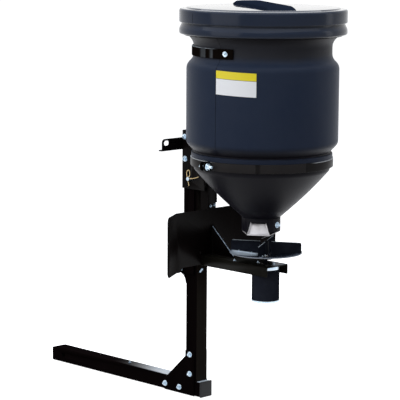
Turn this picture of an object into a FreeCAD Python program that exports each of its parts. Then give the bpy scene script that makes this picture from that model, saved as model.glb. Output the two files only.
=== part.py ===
"""Receiver-mounted broadcast spreader for a utility vehicle, as a parametric document.

The origin is the centre of the hitch pin's hole in the shank. +X runs rearward along the
shank to the hopper, +Z is up, and -Y is the side of the hopper's clamp bolt.
"""
import FreeCAD, Part
import math
import os

import Sketcher

SIZES = {
    # shank, post and corner plates: two-inch square tube
    "tube_side": 50.8,
    "tube_wall": 4.8,
    "tube_round": 2.5,
    "shank_nose": 60.0,
    "shank_tail": 44.0,
    "nose_bevel": 18.0,
    "nose_drop": 4.0,
    "pin_bore": 16.7,
    "plug_hole": 12.0,
    "plug_reach": 326.0,
    "cap_flange": 6.0,
    "cap_lip": 1.4,
    "cap_plug": 28.0,
    "post_reach": 656.0,
    "post_clearance": 79.0,
    "gusset_plate": 6.0,
    "gusset_inset": 5.4,
    "gusset_leg": 128.0,
    "gusset_reach": 137.0,
    "gusset_land": 22.0,
    "gusset_heel": 18.0,
    "gusset_step": 20.0,
    # mast saddle, hopper bracket and upright
    "mast_plate": 6.0,
    "mast_gap": 0.5,
    "mast_depth": 50.8,
    "mast_front": 33.8,
    "mast_drop": 42.0,
    "mast_rise": 87.0,
    "flare_half": 60.0,
    "flare_hang": 38.0,
    "flare_tip": 16.0,
    "flare_height": 80.0,
    "bracket_plate": 4.0,
    "bracket_gap": 0.3,
    "bracket_height": 194.0,
    "bracket_shoulder": 102.0,
    "bend_round": 5.0,
    "upright_side": 38.1,
    "upright_wall": 3.2,
    "upright_set": 7.0,
    "upright_seat": 0.3,
    "packer_inset": 10.0,
    "packer_gap": 2.0,
    "lock_rise": 34.0,
    "lock_pin": 12.7,
    "lock_gap": 0.3,
    "lock_head": 9.0,
    "lock_tail": 10.0,
    "tie_leg": 36.0,
    "tie_plate": 4.0,
    "tie_half": 125.0,
    "tie_drop": 43.0,
    "tie_slot": 17.0,
    "tie_slot_run": 24.0,
    "tie_edge": 7.0,
    "tie_toe": 4.0,
    "tie_shelf": 14.0,
    "tie_slot_rise": 4.0,
    # hopper, turned about its own axis
    "hopper_reach": 293.0,
    "spinner_shift": 23.0,
    "hopper_wall": 6.0,
    "spout_radius": 63.0,
    "cone_bulge": 6.0,
    "band_radius": 219.0,
    "bead_radius": 227.0,
    "bead_height": 15.0,
    "bead_gap": 4.0,
    "chamfer_rise": 27.0,
    "body_radius": 244.5,
    "body_height": 250.0,
    "shoulder_rise": 22.0,
    "neck_radius": 221.5,
    "neck_height": 49.0,
    "neck_flare": 22.0,
    "flare_radius": 240.0,
    "fillet_step": 8.0,
    # lid
    "lid_wall": 6.0,
    "brim_wall": 6.0,
    "brim_gap": 2.0,
    "lid_rim_gap": 4.0,
    "lid_rim_radius": 268.5,
    "lid_rim_height": 17.0,
    "lid_groove_depth": 8.0,
    "lid_groove_height": 20.0,
    "lid_top_height": 48.0,
    "lid_round": 11.0,
    "lid_land": 10.0,
    "lid_step": 4.0,
    "lid_step_run": 3.0,
    "lid_notch": 4.0,
    "lid_seat_gap": 0.3,
    "grip_half_width": 46.0,
    "grip_inset": 14.0,
    "grip_height": 13.0,
    "grip_slope": 40.0,
    "grip_turn_angle": 58.0,
    # clamp ring and neck strap
    "ring_radius": 229.5,
    "ring_plate": 5.0,
    "ring_lift": 12.0,
    "ring_height": 28.0,
    "ring_ledge": 5.0,
    "ring_gap": 0.3,
    "ring_split": 14.0,
    "clamp_turn_angle": -4.0,
    "ear_reach": 26.0,
    "ear_plate": 5.0,
    "ear_bolt": 9.0,
    "strap_rise": 7.0,
    "strap_height": 31.0,
    "strap_plate": 5.0,
    "strap_gap": 1.0,
    "strap_half_angle": 109.0,
    "strap_block": 32.0,
    "stay_plate": 6.0,
    "stay_lap": 67.0,
    # outlet, gate and spinner
    "collar_gap": 33.0,
    "collar_height": 46.0,
    "outlet_wall": 6.0,
    "window_width_foot": 75.0,
    "window_width_head": 53.0,
    "window_height": 33.0,
    "window_gap": 2.0,
    "window_turn_angle": 33.0,
    "gate_plate": 3.0,
    "gate_offset": 43.0,
    "gate_drop": 11.0,
    "gate_gap": 0.3,
    "disc_radius": 118.0,
    "disc_rise": 31.0,
    "disc_plate": 3.0,
    "disc_flat": 30.0,
    "disc_dish": 8.5,
    "vane_height": 43.0,
    "vane_plate": 2.5,
    "vane_lift": 0.05,
    "vane_start": 18.0,
    "vane_end": 116.5,
    "vane_angle": 31.0,
    "hub_radius": 8.5,
    "hub_drop": 1.0,
    "shaft_radius": 5.0,
    "bearing_gap": 0.05,
    "shaft_rise": 1.5,
    # shield, arm and motor
    "shield_plate": 4.0,
    "shield_half": 168.0,
    "shield_wing": 101.0,
    "shield_bend_angle": 30.0,
    "shield_height": 198.5,
    "shield_drop": 12.0,
    "shield_notch": 15.0,
    "shield_corner": 19.0,
    "arm_half": 50.0,
    "arm_foot": 434.0,
    "arm_depth": 33.0,
    "arm_plate": 4.0,
    "arm_reach": 51.0,
    "web_leg": 98.0,
    "web_land": 6.0,
    "web_plate": 4.0,
    "motor_radius": 45.5,
    "motor_length": 119.0,
    "motor_ring": 6.0,
    "motor_inset": 0.6,
    "motor_bore": 11.0,
}


class Size:
    """A length or angle: its present value and the expression that yields it."""

    def __init__(self, value, text):
        self.value = float(value)
        self.text = text

    @staticmethod
    def of(other):
        if isinstance(other, Size):
            return other
        return Size(other, repr(float(other)))

    def _join(self, other, sign, value):
        return Size(value, f"({self.text} {sign} {Size.of(other).text})")

    def __add__(self, other):
        return self._join(other, "+", self.value + Size.of(other).value)

    def __sub__(self, other):
        return self._join(other, "-", self.value - Size.of(other).value)

    def __mul__(self, other):
        return self._join(other, "*", self.value * Size.of(other).value)

    def __truediv__(self, other):
        return self._join(other, "/", self.value / Size.of(other).value)

    def __radd__(self, other):
        return Size.of(other) + self

    def __rsub__(self, other):
        return Size.of(other) - self

    def __rmul__(self, other):
        return Size.of(other) * self

    def __neg__(self):
        return Size(-self.value, f"(0 - {self.text})")

    def sine(self):
        """The sine of this angle in degrees."""
        return Size(math.sin(math.radians(self.value)), f"sin({self.text} * 1 deg)")

    def cosine(self):
        """The cosine of this angle in degrees."""
        return Size(math.cos(math.radians(self.value)), f"cos({self.text} * 1 deg)")

    def root(self):
        """The square root of this number."""
        return Size(math.sqrt(self.value), f"sqrt({self.text})")


doc = FreeCAD.newDocument("Spreader")
sheet = doc.addObject("Spreadsheet::Sheet", "Sizes")
for row, (word, number) in enumerate(SIZES.items(), start=1):
    sheet.set(f"A{row}", word)
    sheet.set(f"B{row}", str(number))
    sheet.setAlias(f"B{row}", word)
doc.recompute()


def dim(word):
    """The named size as the sheet holds it."""
    return Size(sheet.get(word), f"Sizes.{word}")


PARTS = []


# ------------------------------------------------------------------ helpers

def bind(thing, field, size):
    """Tie one property of an object to the sheet."""
    thing.setExpression(field, Size.of(size).text)


def piece(label):
    """A new empty body that will be written as its own file."""
    body = doc.addObject("PartDesign::Body", "Body_" + label)
    body.Label = label
    PARTS.append(body)
    return body


def origin_plane(body, role):
    for feature in body.Origin.OriginFeatures:
        if feature.Role == role:
            return feature
    raise ValueError(role)


def add_sketch(body, role, lift=0.0):
    """A sketch on one of the body's origin planes, moved along that plane's normal."""
    sketch = body.newObject("Sketcher::SketchObject", "Sketch")
    sketch.AttachmentSupport = [(origin_plane(body, role), "")]
    sketch.MapMode = "FlatFace"
    bind(sketch, "AttachmentOffset.Base.z", lift)
    doc.recompute()
    return sketch


def pin_point(sketch, geometry, end, point):
    """Hold one end point of a sketch's geometry at (u, v) from the sketch's origin."""
    for kind, size in zip(("DistanceX", "DistanceY"), point):
        size = Size.of(size)
        index = sketch.addConstraint(
            Sketcher.Constraint(kind, -1, 1, geometry, end, size.value))
        sketch.setExpression(f"Constraints[{index}]", size.text)


def draw_outline(sketch, points):
    """A closed outline through the points, each bound to the sheet."""
    points = [(Size.of(u), Size.of(v)) for u, v in points]
    places = [FreeCAD.Vector(u.value, v.value, 0) for u, v in points]
    first = sketch.GeometryCount
    for start, end in zip(places, places[1:] + places[:1]):
        sketch.addGeometry(Part.LineSegment(start, end), False)
    count = len(points)
    for index in range(count):
        following = first + (index + 1) % count
        sketch.addConstraint(
            Sketcher.Constraint("Coincident", first + index, 2, following, 1))
        pin_point(sketch, first + index, 1, points[index])


def draw_circle(sketch, centre, radius):
    """A circle whose centre and radius are bound to the sheet."""
    centre = (Size.of(centre[0]), Size.of(centre[1]))
    radius = Size.of(radius)
    place = FreeCAD.Vector(centre[0].value, centre[1].value, 0)
    index = sketch.addGeometry(
        Part.Circle(place, FreeCAD.Vector(0, 0, 1), radius.value), False)
    pin_point(sketch, index, 3, centre)
    bound = sketch.addConstraint(Sketcher.Constraint("Radius", index, radius.value))
    sketch.setExpression(f"Constraints[{bound}]", radius.text)


def pad(body, sketch, length, reverse=False):
    feature = body.newObject("PartDesign::Pad", "Pad")
    feature.Profile = sketch
    feature.Reversed = reverse
    bind(feature, "Length", length)
    doc.recompute()
    return feature


def pocket(body, sketch, length=None, reverse=False):
    """Cut a sketch away, and make sure that it removed something."""
    before = body.Shape.Volume
    feature = body.newObject("PartDesign::Pocket", "Pocket")
    feature.Profile = sketch
    feature.Reversed = reverse
    if length is None:
        feature.Type = "ThroughAll"
        feature.Midplane = True
    else:
        bind(feature, "Length", length)
    doc.recompute()
    if not body.Shape.Volume < before - 1e-6:
        raise ValueError(f"{body.Label}: the pocket cuts nothing")
    return feature


def revolve(body, sketch):
    feature = body.newObject("PartDesign::Revolution", "Revolution")
    feature.Profile = sketch
    feature.ReferenceAxis = (sketch, ["V_Axis"])
    feature.Angle = 360
    doc.recompute()
    return feature


def round_edges(body, radius, wanted):
    """Round every edge of the body's present shape that `wanted` picks."""
    base = body.Tip
    names = [f"Edge{number}" for number, edge in enumerate(base.Shape.Edges, start=1)
             if wanted(edge)]
    if not names:
        raise ValueError(f"{body.Label}: no edge to round")
    feature = body.newObject("PartDesign::Fillet", "Fillet")
    feature.Base = (base, names)
    bind(feature, "Radius", radius)
    doc.recompute()
    return feature


def runs_along(edge, axis):
    """Whether a straight edge lies along an axis (0, 1 or 2)."""
    if len(edge.Vertexes) != 2:
        return False
    step = edge.Vertexes[1].Point - edge.Vertexes[0].Point
    others = [abs(step[index]) for index in range(3) if index != axis]
    return abs(step[axis]) > 1e-6 and max(others) < 1e-6


def is_near(value, target):
    return abs(value - target) < 0.01


def place(body, x=0.0, y=0.0, z=0.0, turn=0.0):
    """Set a body down at a place bound to the sheet, turned about its own Z."""
    for field, size in (("x", x), ("y", y), ("z", z)):
        bind(body, f"Placement.Base.{field}", size)
    if not isinstance(turn, Size) and turn == 0.0:
        return
    body.Placement.Rotation = FreeCAD.Rotation(FreeCAD.Vector(0, 0, 1), 1.0)
    bind(body, "Placement.Rotation.Angle", turn)


def square_ring(body, role, lift, side, wall, length, centre=(0.0, 0.0)):
    """A square tube: outer and inner squares padded together, outer corners rounded."""
    sketch = add_sketch(body, role, lift)
    u, v = Size.of(centre[0]), Size.of(centre[1])
    for half in (side / 2, side / 2 - wall):
        draw_outline(sketch, [(u - half, v - half), (u + half, v - half),
                              (u + half, v + half), (u - half, v + half)])
    return pad(body, sketch, length)


# ------------------------------------------------------------------ driving places

tube = dim("tube_side")
half_tube = tube / 2
post_x = dim("post_reach")
hopper_x = post_x + dim("hopper_reach")
spinner_reach = dim("hopper_reach") + dim("spinner_shift")
spinner_x = post_x + spinner_reach
mast_outer = half_tube + dim("mast_gap") + dim("mast_plate")
bracket_outer = mast_outer + dim("bracket_gap") + dim("bracket_plate")
ring_front = dim("hopper_reach") - dim("ring_radius")
upright_back = ring_front + dim("upright_set")
upright_front = upright_back - dim("upright_side")
shield_back = upright_back + dim("shield_plate")

arm_foot = dim("arm_foot")
arm_head = arm_foot + dim("arm_depth")
disc_top = arm_head + dim("disc_rise")
collar_foot = disc_top + dim("vane_height") + dim("collar_gap")
cone_foot = collar_foot + dim("collar_height")
window_head = collar_foot + dim("window_height")
cone_head = cone_foot + dim("band_radius") - dim("spout_radius")
ring_foot = cone_head + dim("ring_lift")
ring_head = ring_foot + dim("ring_height")
band_head = ring_head + dim("bead_height") + dim("bead_gap")
chamfer_head = band_head + dim("chamfer_rise")
body_head = chamfer_head + dim("body_height")
neck_foot = body_head + dim("shoulder_rise")
neck_head = neck_foot + dim("neck_height")
lid_foot = neck_head + dim("neck_flare") + dim("lid_rim_gap")
rim_head = lid_foot + dim("lid_rim_height")
groove_head = rim_head + dim("lid_groove_height")
lid_top = groove_head + dim("lid_top_height")
strap_inner = dim("neck_radius") + dim("strap_gap")
groove_radius = dim("lid_rim_radius") - dim("lid_groove_depth")
strap_foot = neck_foot + dim("strap_rise")
strap_head = strap_foot + dim("strap_height")
mast_head = ring_foot + dim("mast_rise")
mast_foot = arm_foot - dim("mast_drop")
bracket_foot = mast_head - dim("bracket_height")
post_top = bracket_foot + dim("post_clearance")
lock_height = bracket_foot + dim("lock_rise")
upright_head = ring_foot - dim("upright_seat")
tie_height = mast_head - dim("tie_drop")
stay_foot = upright_head - dim("stay_lap")
motor_foot = arm_head - dim("arm_plate") - dim("motor_length")
hub_head = disc_top + dim("vane_height") - dim("hub_drop")
shield_foot = arm_foot - dim("shield_drop")


# ------------------------------------------------------------------ shank and post

def shank_tube():
    """The square tube that slides into the receiver, bored for the hitch pin."""
    body = piece("shank_tube")
    length = dim("shank_nose") + post_x + dim("shank_tail")
    square_ring(body, "YZ_Plane", -dim("shank_nose"), tube, dim("tube_wall"), length)
    round_edges(body, dim("tube_round"), lambda edge: runs_along(edge, 0) and is_near(
        abs(edge.CenterOfMass.y), half_tube.value))
    nose = add_sketch(body, "XZ_Plane")
    draw_outline(nose, [
        (-dim("shank_nose"), half_tube - dim("nose_drop")),
        (dim("nose_bevel") - dim("shank_nose"), half_tube),
        (-dim("shank_nose"), half_tube),
    ])
    pocket(body, nose)
    bore = add_sketch(body, "XZ_Plane")
    draw_circle(bore, (0.0, 0.0), dim("pin_bore") / 2)
    pocket(body, bore)
    hole = add_sketch(body, "XY_Plane")
    draw_circle(hole, (dim("plug_reach"), 0.0), dim("plug_hole") / 2)
    pocket(body, hole, half_tube, reverse=True)
    place(body)


def shank_cap():
    """The moulded plug that closes the shank's rear end."""
    body = piece("shank_cap")
    inner = half_tube - dim("tube_wall")
    plug = add_sketch(body, "YZ_Plane", -dim("cap_plug"))
    draw_outline(plug, [(-inner, -inner), (inner, -inner), (inner, inner), (-inner, inner)])
    pad(body, plug, dim("cap_plug"))
    outer = half_tube + dim("cap_lip")
    face = add_sketch(body, "YZ_Plane")
    draw_outline(face, [(-outer, -outer), (outer, -outer), (outer, outer), (-outer, outer)])
    pad(body, face, dim("cap_flange"))
    round_edges(body, dim("cap_flange") / 2, lambda edge: is_near(
        edge.CenterOfMass.x, dim("cap_flange").value) and len(edge.Vertexes) == 2)
    place(body, x=post_x + dim("shank_tail"))


def post():
    """The upright square tube that stands on the shank."""
    body = piece("post")
    square_ring(body, "XY_Plane", half_tube, tube, dim("tube_wall"),
                post_top - half_tube)
    round_edges(body, dim("tube_round"), lambda edge: runs_along(edge, 2) and is_near(
        abs(edge.CenterOfMass.x), half_tube.value))
    pin = add_sketch(body, "XZ_Plane")
    draw_circle(pin, (0.0, lock_height), dim("lock_pin") / 2 + dim("lock_gap"))
    pocket(body, pin)
    place(body, x=post_x)


def gusset(label, side):
    """A corner plate bolted across the shank and the post, on one side."""
    body = piece(label)
    lift = half_tube if side > 0 else -half_tube - dim("gusset_plate")
    sketch = add_sketch(body, "XZ_Plane", -lift - dim("gusset_plate"))
    back = half_tube - dim("gusset_inset")
    reach = dim("gusset_reach")
    land = dim("gusset_land")
    heel = dim("gusset_heel")
    step = dim("gusset_step")
    draw_outline(sketch, [
        (back, -half_tube),
        (back, dim("gusset_leg")),
        (-land, dim("gusset_leg")),
        (-land, dim("gusset_leg") - step),
        (-reach, 0.0),
        (-reach, -heel),
        (heel - reach, -half_tube),
    ])
    pad(body, sketch, dim("gusset_plate"))
    place(body, x=post_x)


# ------------------------------------------------------------------ mast

def channel_outline(sketch, front, depth, outer, plate):
    """A U section that opens rearward, seen from above."""
    back = depth - front
    draw_outline(sketch, [
        (-front, -outer), (back, -outer), (back, plate - outer), (plate - front, plate - outer),
        (plate - front, outer - plate), (back, outer - plate), (back, outer), (-front, outer),
    ])


def bend_edges(front, outer):
    """Picks the two outer bends of a U section."""
    return lambda edge: (runs_along(edge, 2) and is_near(edge.CenterOfMass.x, -front.value)
                         and is_near(abs(edge.CenterOfMass.y), outer.value))


def mast_saddle():
    """The bent channel that wraps the post from the vehicle's side."""
    body = piece("mast_saddle")
    sketch = add_sketch(body, "XY_Plane", mast_foot)
    front = dim("mast_front")
    channel_outline(sketch, front, dim("mast_depth"), mast_outer, dim("mast_plate"))
    pad(body, sketch, mast_head - mast_foot)
    round_edges(body, dim("bend_round"), bend_edges(front, mast_outer))
    pin = add_sketch(body, "XZ_Plane")
    draw_circle(pin, (0.0, lock_height), dim("lock_pin") / 2 + dim("lock_gap"))
    pocket(body, pin)
    place(body, x=post_x)


def mast_flare():
    """The foot plate on the saddle's web: wide where it is bolted, curving in to its tip."""
    body = piece("mast_flare")
    half = dim("flare_half")
    foot = mast_foot - dim("flare_hang")
    head = foot + dim("flare_height")
    sketch = add_sketch(body, "YZ_Plane", -dim("mast_front") - dim("bracket_plate"))
    draw_outline(sketch, [(-half, foot), (half, foot), (half, head), (-half, head)])
    pad(body, sketch, dim("bracket_plate"))
    curves = add_sketch(body, "YZ_Plane")
    draw_circle(curves, (-half, foot), half - dim("flare_tip"))
    draw_circle(curves, (half, foot), half - dim("flare_tip"))
    pocket(body, curves)
    place(body, x=post_x)


def hopper_bracket():
    """The outer channel that carries the hopper's ring from the mast."""
    body = piece("hopper_bracket")
    front = dim("mast_front") + dim("bracket_gap") + dim("bracket_plate")
    back = upright_back - dim("packer_gap")
    sketch = add_sketch(body, "XY_Plane", bracket_foot)
    channel_outline(sketch, front, front + back, bracket_outer, dim("bracket_plate"))
    pad(body, sketch, mast_head - bracket_foot)
    round_edges(body, dim("bend_round"), bend_edges(front, bracket_outer))
    relief = add_sketch(body, "XZ_Plane")
    depth = dim("mast_depth") - dim("mast_front") + dim("mast_plate")
    draw_outline(relief, [
        (back, bracket_foot + dim("bracket_shoulder")), (back, mast_head),
        (depth, mast_head), (depth, mast_head - dim("upright_side"))])
    pocket(body, relief)
    pin = add_sketch(body, "XZ_Plane")
    draw_circle(pin, (0.0, lock_height), dim("lock_pin") / 2 + dim("lock_gap"))
    pocket(body, pin)
    place(body, x=post_x)


def bracket_packer(label, side):
    """A spacer bar between the upright and one side of the hopper bracket."""
    body = piece(label)
    inner = dim("upright_side") / 2
    outer = bracket_outer - dim("bracket_plate")
    low, high = (inner, outer) if side > 0 else (-outer, -inner)
    sketch = add_sketch(body, "XY_Plane", bracket_foot + dim("packer_inset"))
    draw_outline(sketch, [(upright_front, low), (upright_back - dim("packer_gap"), low),
                          (upright_back - dim("packer_gap"), high), (upright_front, high)])
    pad(body, sketch, upright_head - bracket_foot - dim("packer_inset") * 2)
    place(body, x=post_x)


def upright():
    """The square tube behind the post that carries ring, strap, shield and arm."""
    body = piece("upright")
    centre = (upright_front + dim("upright_side") / 2, 0.0)
    square_ring(body, "XY_Plane", arm_foot, dim("upright_side"), dim("upright_wall"),
                upright_head - arm_foot, centre)
    round_edges(body, dim("upright_wall"), lambda edge: runs_along(edge, 2) and is_near(
        abs(edge.CenterOfMass.y), dim("upright_side").value / 2))
    place(body, x=post_x)


def lock_pin():
    """The headed pin that holds the hopper's frame at its height on the post."""
    body = piece("lock_pin")
    reach = bracket_outer + dim("lock_tail")
    sketch = add_sketch(body, "XZ_Plane", -reach)
    draw_circle(sketch, (0.0, lock_height), dim("lock_pin") / 2)
    pad(body, sketch, reach * 2)
    head = add_sketch(body, "XZ_Plane", -bracket_outer - dim("lock_head"))
    draw_circle(head, (0.0, lock_height), dim("lock_pin"))
    pad(body, head, dim("lock_head") - dim("lock_gap"))
    place(body, x=post_x)


def tie_bar():
    """The angle across the mast's head, slotted at both ends for tie-down straps."""
    body = piece("tie_bar")
    half = dim("tie_half")
    leg = dim("tie_leg")
    foot = tie_height - leg / 2
    back = dim("mast_front") + dim("bracket_gap") + dim("bracket_plate")
    face = add_sketch(body, "YZ_Plane", -back - dim("tie_plate"))
    draw_outline(face, [(-half, foot), (half, foot), (half, foot + leg), (-half, foot + leg)])
    pad(body, face, dim("tie_plate"))
    round_edges(body, leg / 3, lambda edge: runs_along(edge, 0)
                and is_near(edge.CenterOfMass.z, (foot + leg).value))
    toe = half + dim("tie_toe")
    shelf = add_sketch(body, "XY_Plane", foot - dim("tie_plate"))
    edge = -back - dim("tie_shelf")
    draw_outline(shelf, [(edge, -toe), (-back, -toe), (-back, toe), (edge, toe)])
    pad(body, shelf, dim("tie_plate"))
    reach = dim("tie_slot") / 2
    run = dim("tie_slot_run") / 2 - reach
    middle = half - dim("tie_slot_run") / 2 - dim("tie_edge")
    height = tie_height + dim("tie_slot_rise")
    for side in (-1, 1):
        centre = side * middle
        window = add_sketch(body, "YZ_Plane", -back - dim("tie_plate"))
        draw_outline(window, [
            (centre - run, height - reach), (centre + run, height - reach),
            (centre + run, height + reach), (centre - run, height + reach)])
        pocket(body, window, dim("tie_plate"), reverse=True)
        for end in (centre - run, centre + run):
            round_end = add_sketch(body, "YZ_Plane", -back - dim("tie_plate"))
            draw_circle(round_end, (end, height), reach)
            pocket(body, round_end, dim("tie_plate"), reverse=True)
    place(body, x=post_x)


# ------------------------------------------------------------------ hopper, ring, lid

def hopper():
    """The moulded tub: flared neck, shoulder, straight body, seat bead and a slightly bulging cone."""
    body = piece("hopper")
    wall = dim("hopper_wall")
    slant = wall * 1.414
    step = dim("fillet_step")
    spout = dim("spout_radius") - dim("outlet_wall") - dim("ring_gap")
    band = dim("band_radius")
    third = (band - dim("spout_radius")) / 3
    bulge = dim("cone_bulge")
    tub = dim("body_radius")
    neck = dim("neck_radius")
    flare = dim("flare_radius")
    brim = groove_radius - dim("lid_wall") - dim("brim_gap")
    brim_top = lid_top - dim("lid_step") - dim("lid_wall") - dim("lid_seat_gap")
    flare_top = neck_head + dim("neck_flare")
    outside = [
        (spout, window_head + dim("window_gap")),
        (spout, cone_foot),
        (dim("spout_radius"), cone_foot),
        (dim("spout_radius") + third + bulge, cone_foot + third),
        (band - third + bulge, cone_head - third),
        (band, cone_head),
        (band, ring_head + dim("ring_gap")),
        (dim("bead_radius"), ring_head + dim("ring_gap")),
        (dim("bead_radius"), ring_head + dim("bead_height") * 0.7),
        (dim("bead_radius") - 3.0, ring_head + dim("bead_height")),
        (band + 1.0, ring_head + dim("bead_height") + 1.0),
        (band + 1.0, band_head),
        (tub, chamfer_head),
        (tub, body_head),
        (neck, neck_foot),
        (neck, neck_head),
        (neck + step, neck_head + dim("neck_flare") * 0.55),
        (flare, flare_top),
        (brim, flare_top),
        (brim, brim_top),
    ]
    inside = [
        (brim - dim("brim_wall"), brim_top),
        (brim - dim("brim_wall"), flare_top + wall),
        (neck - wall, neck_head + wall),
        (neck - wall, neck_foot),
        (tub - wall, body_head),
        (tub - wall, chamfer_head),
        (band - wall, band_head + 2.0),
        (band - wall, cone_head + 2.0),
        (band - third - slant + bulge, cone_head - third),
        (dim("spout_radius") + third - slant + bulge, cone_foot + third),
        (spout - wall, cone_foot + slant - wall * 2),
        (spout - wall, window_head + dim("window_gap")),
    ]
    sketch = add_sketch(body, "XZ_Plane")
    draw_outline(sketch, outside + inside)
    revolve(body, sketch)
    place(body, x=hopper_x)


def lid():
    """The moulded lid: sloped rim, notch, rounded edge, land and a raised panel."""
    body = piece("lid")
    wall = dim("lid_wall")
    groove = groove_radius
    skirt = groove - wall
    edge = dim("lid_rim_radius")
    soft = dim("lid_groove_depth")
    curl = dim("lid_round")
    step = edge - curl - dim("lid_land")
    land = lid_top - dim("lid_step")
    sketch = add_sketch(body, "XZ_Plane")
    draw_outline(sketch, [
        (0.0, lid_top),
        (step - dim("lid_step_run"), lid_top),
        (step, land),
        (edge - curl, land),
        (edge - curl * 0.5, land - curl * 0.134),
        (edge - curl * 0.134, land - curl * 0.5),
        (edge, land - curl),
        (edge, groove_head + soft * 0.75),
        (groove, groove_head),
        (groove, groove_head - dim("lid_notch")),
        (edge, rim_head),
        (edge, lid_foot + soft * 0.75),
        (edge - soft, lid_foot),
        (skirt, lid_foot),
        (skirt, groove_head + wall),
        (edge - wall, groove_head + wall * 2),
        (edge - wall, land - curl),
        (edge - curl, land - wall),
        (step, land - wall),
        (0.0, land - wall),
    ])
    revolve(body, sketch)
    place(body, x=hopper_x)


def lid_grip():
    """The broad raised bar across the lid's panel, sloping down at both ends."""
    body = piece("lid_grip")
    half = dim("grip_half_width")
    reach = (dim("lid_rim_radius") - dim("lid_round") - dim("lid_land")
             - dim("lid_step_run") - dim("grip_inset"))
    crest = reach - dim("grip_slope")
    height = dim("grip_height")
    sketch = add_sketch(body, "YZ_Plane", -half)
    draw_outline(sketch, [
        (-reach, lid_top), (reach, lid_top),
        (reach - dim("grip_slope") * 0.4, lid_top + height * 0.6),
        (crest, lid_top + height), (-crest, lid_top + height),
        (dim("grip_slope") * 0.4 - reach, lid_top + height * 0.6)])
    pad(body, sketch, half * 2)
    round_edges(body, height * 0.5, lambda edge: runs_along(edge, 1)
                and is_near(edge.CenterOfMass.z, (lid_top + height).value)
                and is_near(abs(edge.CenterOfMass.x), half.value))
    place(body, x=hopper_x, turn=dim("grip_turn_angle"))


def hoop_solid(foot, height, outer, inner, start, sweep):
    """A part of a flat-sided hoop about Z, from one angle through a sweep."""
    turned = FreeCAD.Vector(0, 0, 1)
    base = FreeCAD.Vector(0, 0, foot.value)
    ring = Part.makeCylinder(outer.value, height.value, base, turned, sweep.value)
    hoop = ring.cut(Part.makeCylinder(inner.value, height.value, base, turned))
    hoop.rotate(FreeCAD.Vector(), turned, start.value)
    return hoop


def add_hoop(label, shape):
    """Keep a hoop shape as a sub-part on the hopper's axis."""
    feature = doc.addObject("Part::Feature", "Hoop_" + label)
    feature.Shape = shape
    feature.Label = label
    feature.Placement = FreeCAD.Placement(
        FreeCAD.Vector(hopper_x.value, 0, 0), FreeCAD.Rotation())
    PARTS.append(feature)


def clamp_ring():
    """The split band round the hopper's foot, with a ledge inside its top edge."""
    gap_angle = math.degrees(dim("ring_split").value / dim("ring_radius").value)
    start = Size.of(gap_angle / 2 - 90.0 + dim("clamp_turn_angle").value)
    sweep = Size.of(360.0 - gap_angle)
    inner = dim("ring_radius") - dim("ring_plate")
    band = hoop_solid(ring_foot, dim("ring_height"), dim("ring_radius"), inner, start, sweep)
    ledge = hoop_solid(ring_head - dim("ring_ledge"), dim("ring_ledge"), inner,
                       dim("band_radius") + dim("ring_gap"), start, sweep)
    add_hoop("clamp_ring", band.fuse(ledge).removeSplitter())


def clamp_ear(label, side):
    """One of the two ears that the clamp bolt draws together."""
    body = piece(label)
    gap = dim("ring_split") / 2
    near = gap if side > 0 else -gap - dim("ear_plate")
    sketch = add_sketch(body, "YZ_Plane", near)
    root = dim("ring_radius")
    foot = ring_foot
    draw_outline(sketch, [(-root - dim("ear_reach"), foot), (-root, foot),
                          (-root, foot + dim("ring_height")),
                          (-root - dim("ear_reach"), foot + dim("ring_height"))])
    pad(body, sketch, dim("ear_plate"))
    round_edges(body, dim("ring_height") / 4, lambda edge: runs_along(edge, 0) and is_near(
        edge.CenterOfMass.y, -(root + dim("ear_reach")).value))
    bolt = add_sketch(body, "YZ_Plane")
    draw_circle(bolt, (-root - dim("ear_reach") / 2, foot + dim("ring_height") / 2),
                dim("ear_bolt") / 2)
    pocket(body, bolt)
    place(body, x=hopper_x, turn=dim("clamp_turn_angle"))


def clamp_bolt():
    """The bolt that closes the clamp ring, lying along X through both ears."""
    body = piece("clamp_bolt")
    root = dim("ring_radius")
    centre = (-root - dim("ear_reach") / 2, ring_foot + dim("ring_height") / 2)
    outer = dim("ring_split") / 2 + dim("ear_plate")
    shank = add_sketch(body, "YZ_Plane", -outer - 8.0)
    draw_circle(shank, centre, dim("ear_bolt") / 2 - 0.25)
    pad(body, shank, outer * 2 + 30.0)
    for start in (-outer - 8.0, outer):
        head = add_sketch(body, "YZ_Plane", start)
        points = []
        for corner in range(6):
            turn = math.radians(60 * corner)
            points.append((centre[0] + dim("ear_bolt") * 0.95 * math.cos(turn),
                           centre[1] + dim("ear_bolt") * 0.95 * math.sin(turn)))
        draw_outline(head, points)
        pad(body, head, 8.0)
    place(body, x=hopper_x, turn=dim("clamp_turn_angle"))


def neck_strap():
    """The bent strap that hugs the vehicle's side of the hopper's neck."""
    half = dim("strap_half_angle")
    inner = strap_inner
    add_hoop("neck_strap", hoop_solid(
        strap_foot, dim("strap_height"), inner + dim("strap_plate"), inner,
        180.0 - half, half * 2))


def neck_stay():
    """The flat bar from the head of the upright to the neck strap."""
    body = piece("neck_stay")
    half = dim("upright_side") / 2
    sketch = add_sketch(body, "XY_Plane", stay_foot)
    draw_outline(sketch, [
        (upright_front - dim("stay_plate"), -half), (upright_front, -half),
        (upright_front, half), (upright_front - dim("stay_plate"), half)])
    pad(body, sketch, strap_head - stay_foot)
    place(body, x=post_x)


def strap_spacer():
    """The short square tube between the stay's head and the neck strap."""
    body = piece("strap_spacer")
    front = strap_inner + dim("strap_plate")
    reach = dim("hopper_reach") - front - upright_front
    centre = (0.0, strap_foot + dim("strap_height") / 2)
    square_ring(body, "YZ_Plane", upright_front, dim("strap_block"), dim("upright_wall"),
                reach, centre)
    place(body, x=post_x)


# ------------------------------------------------------------------ outlet and spinner

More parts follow.
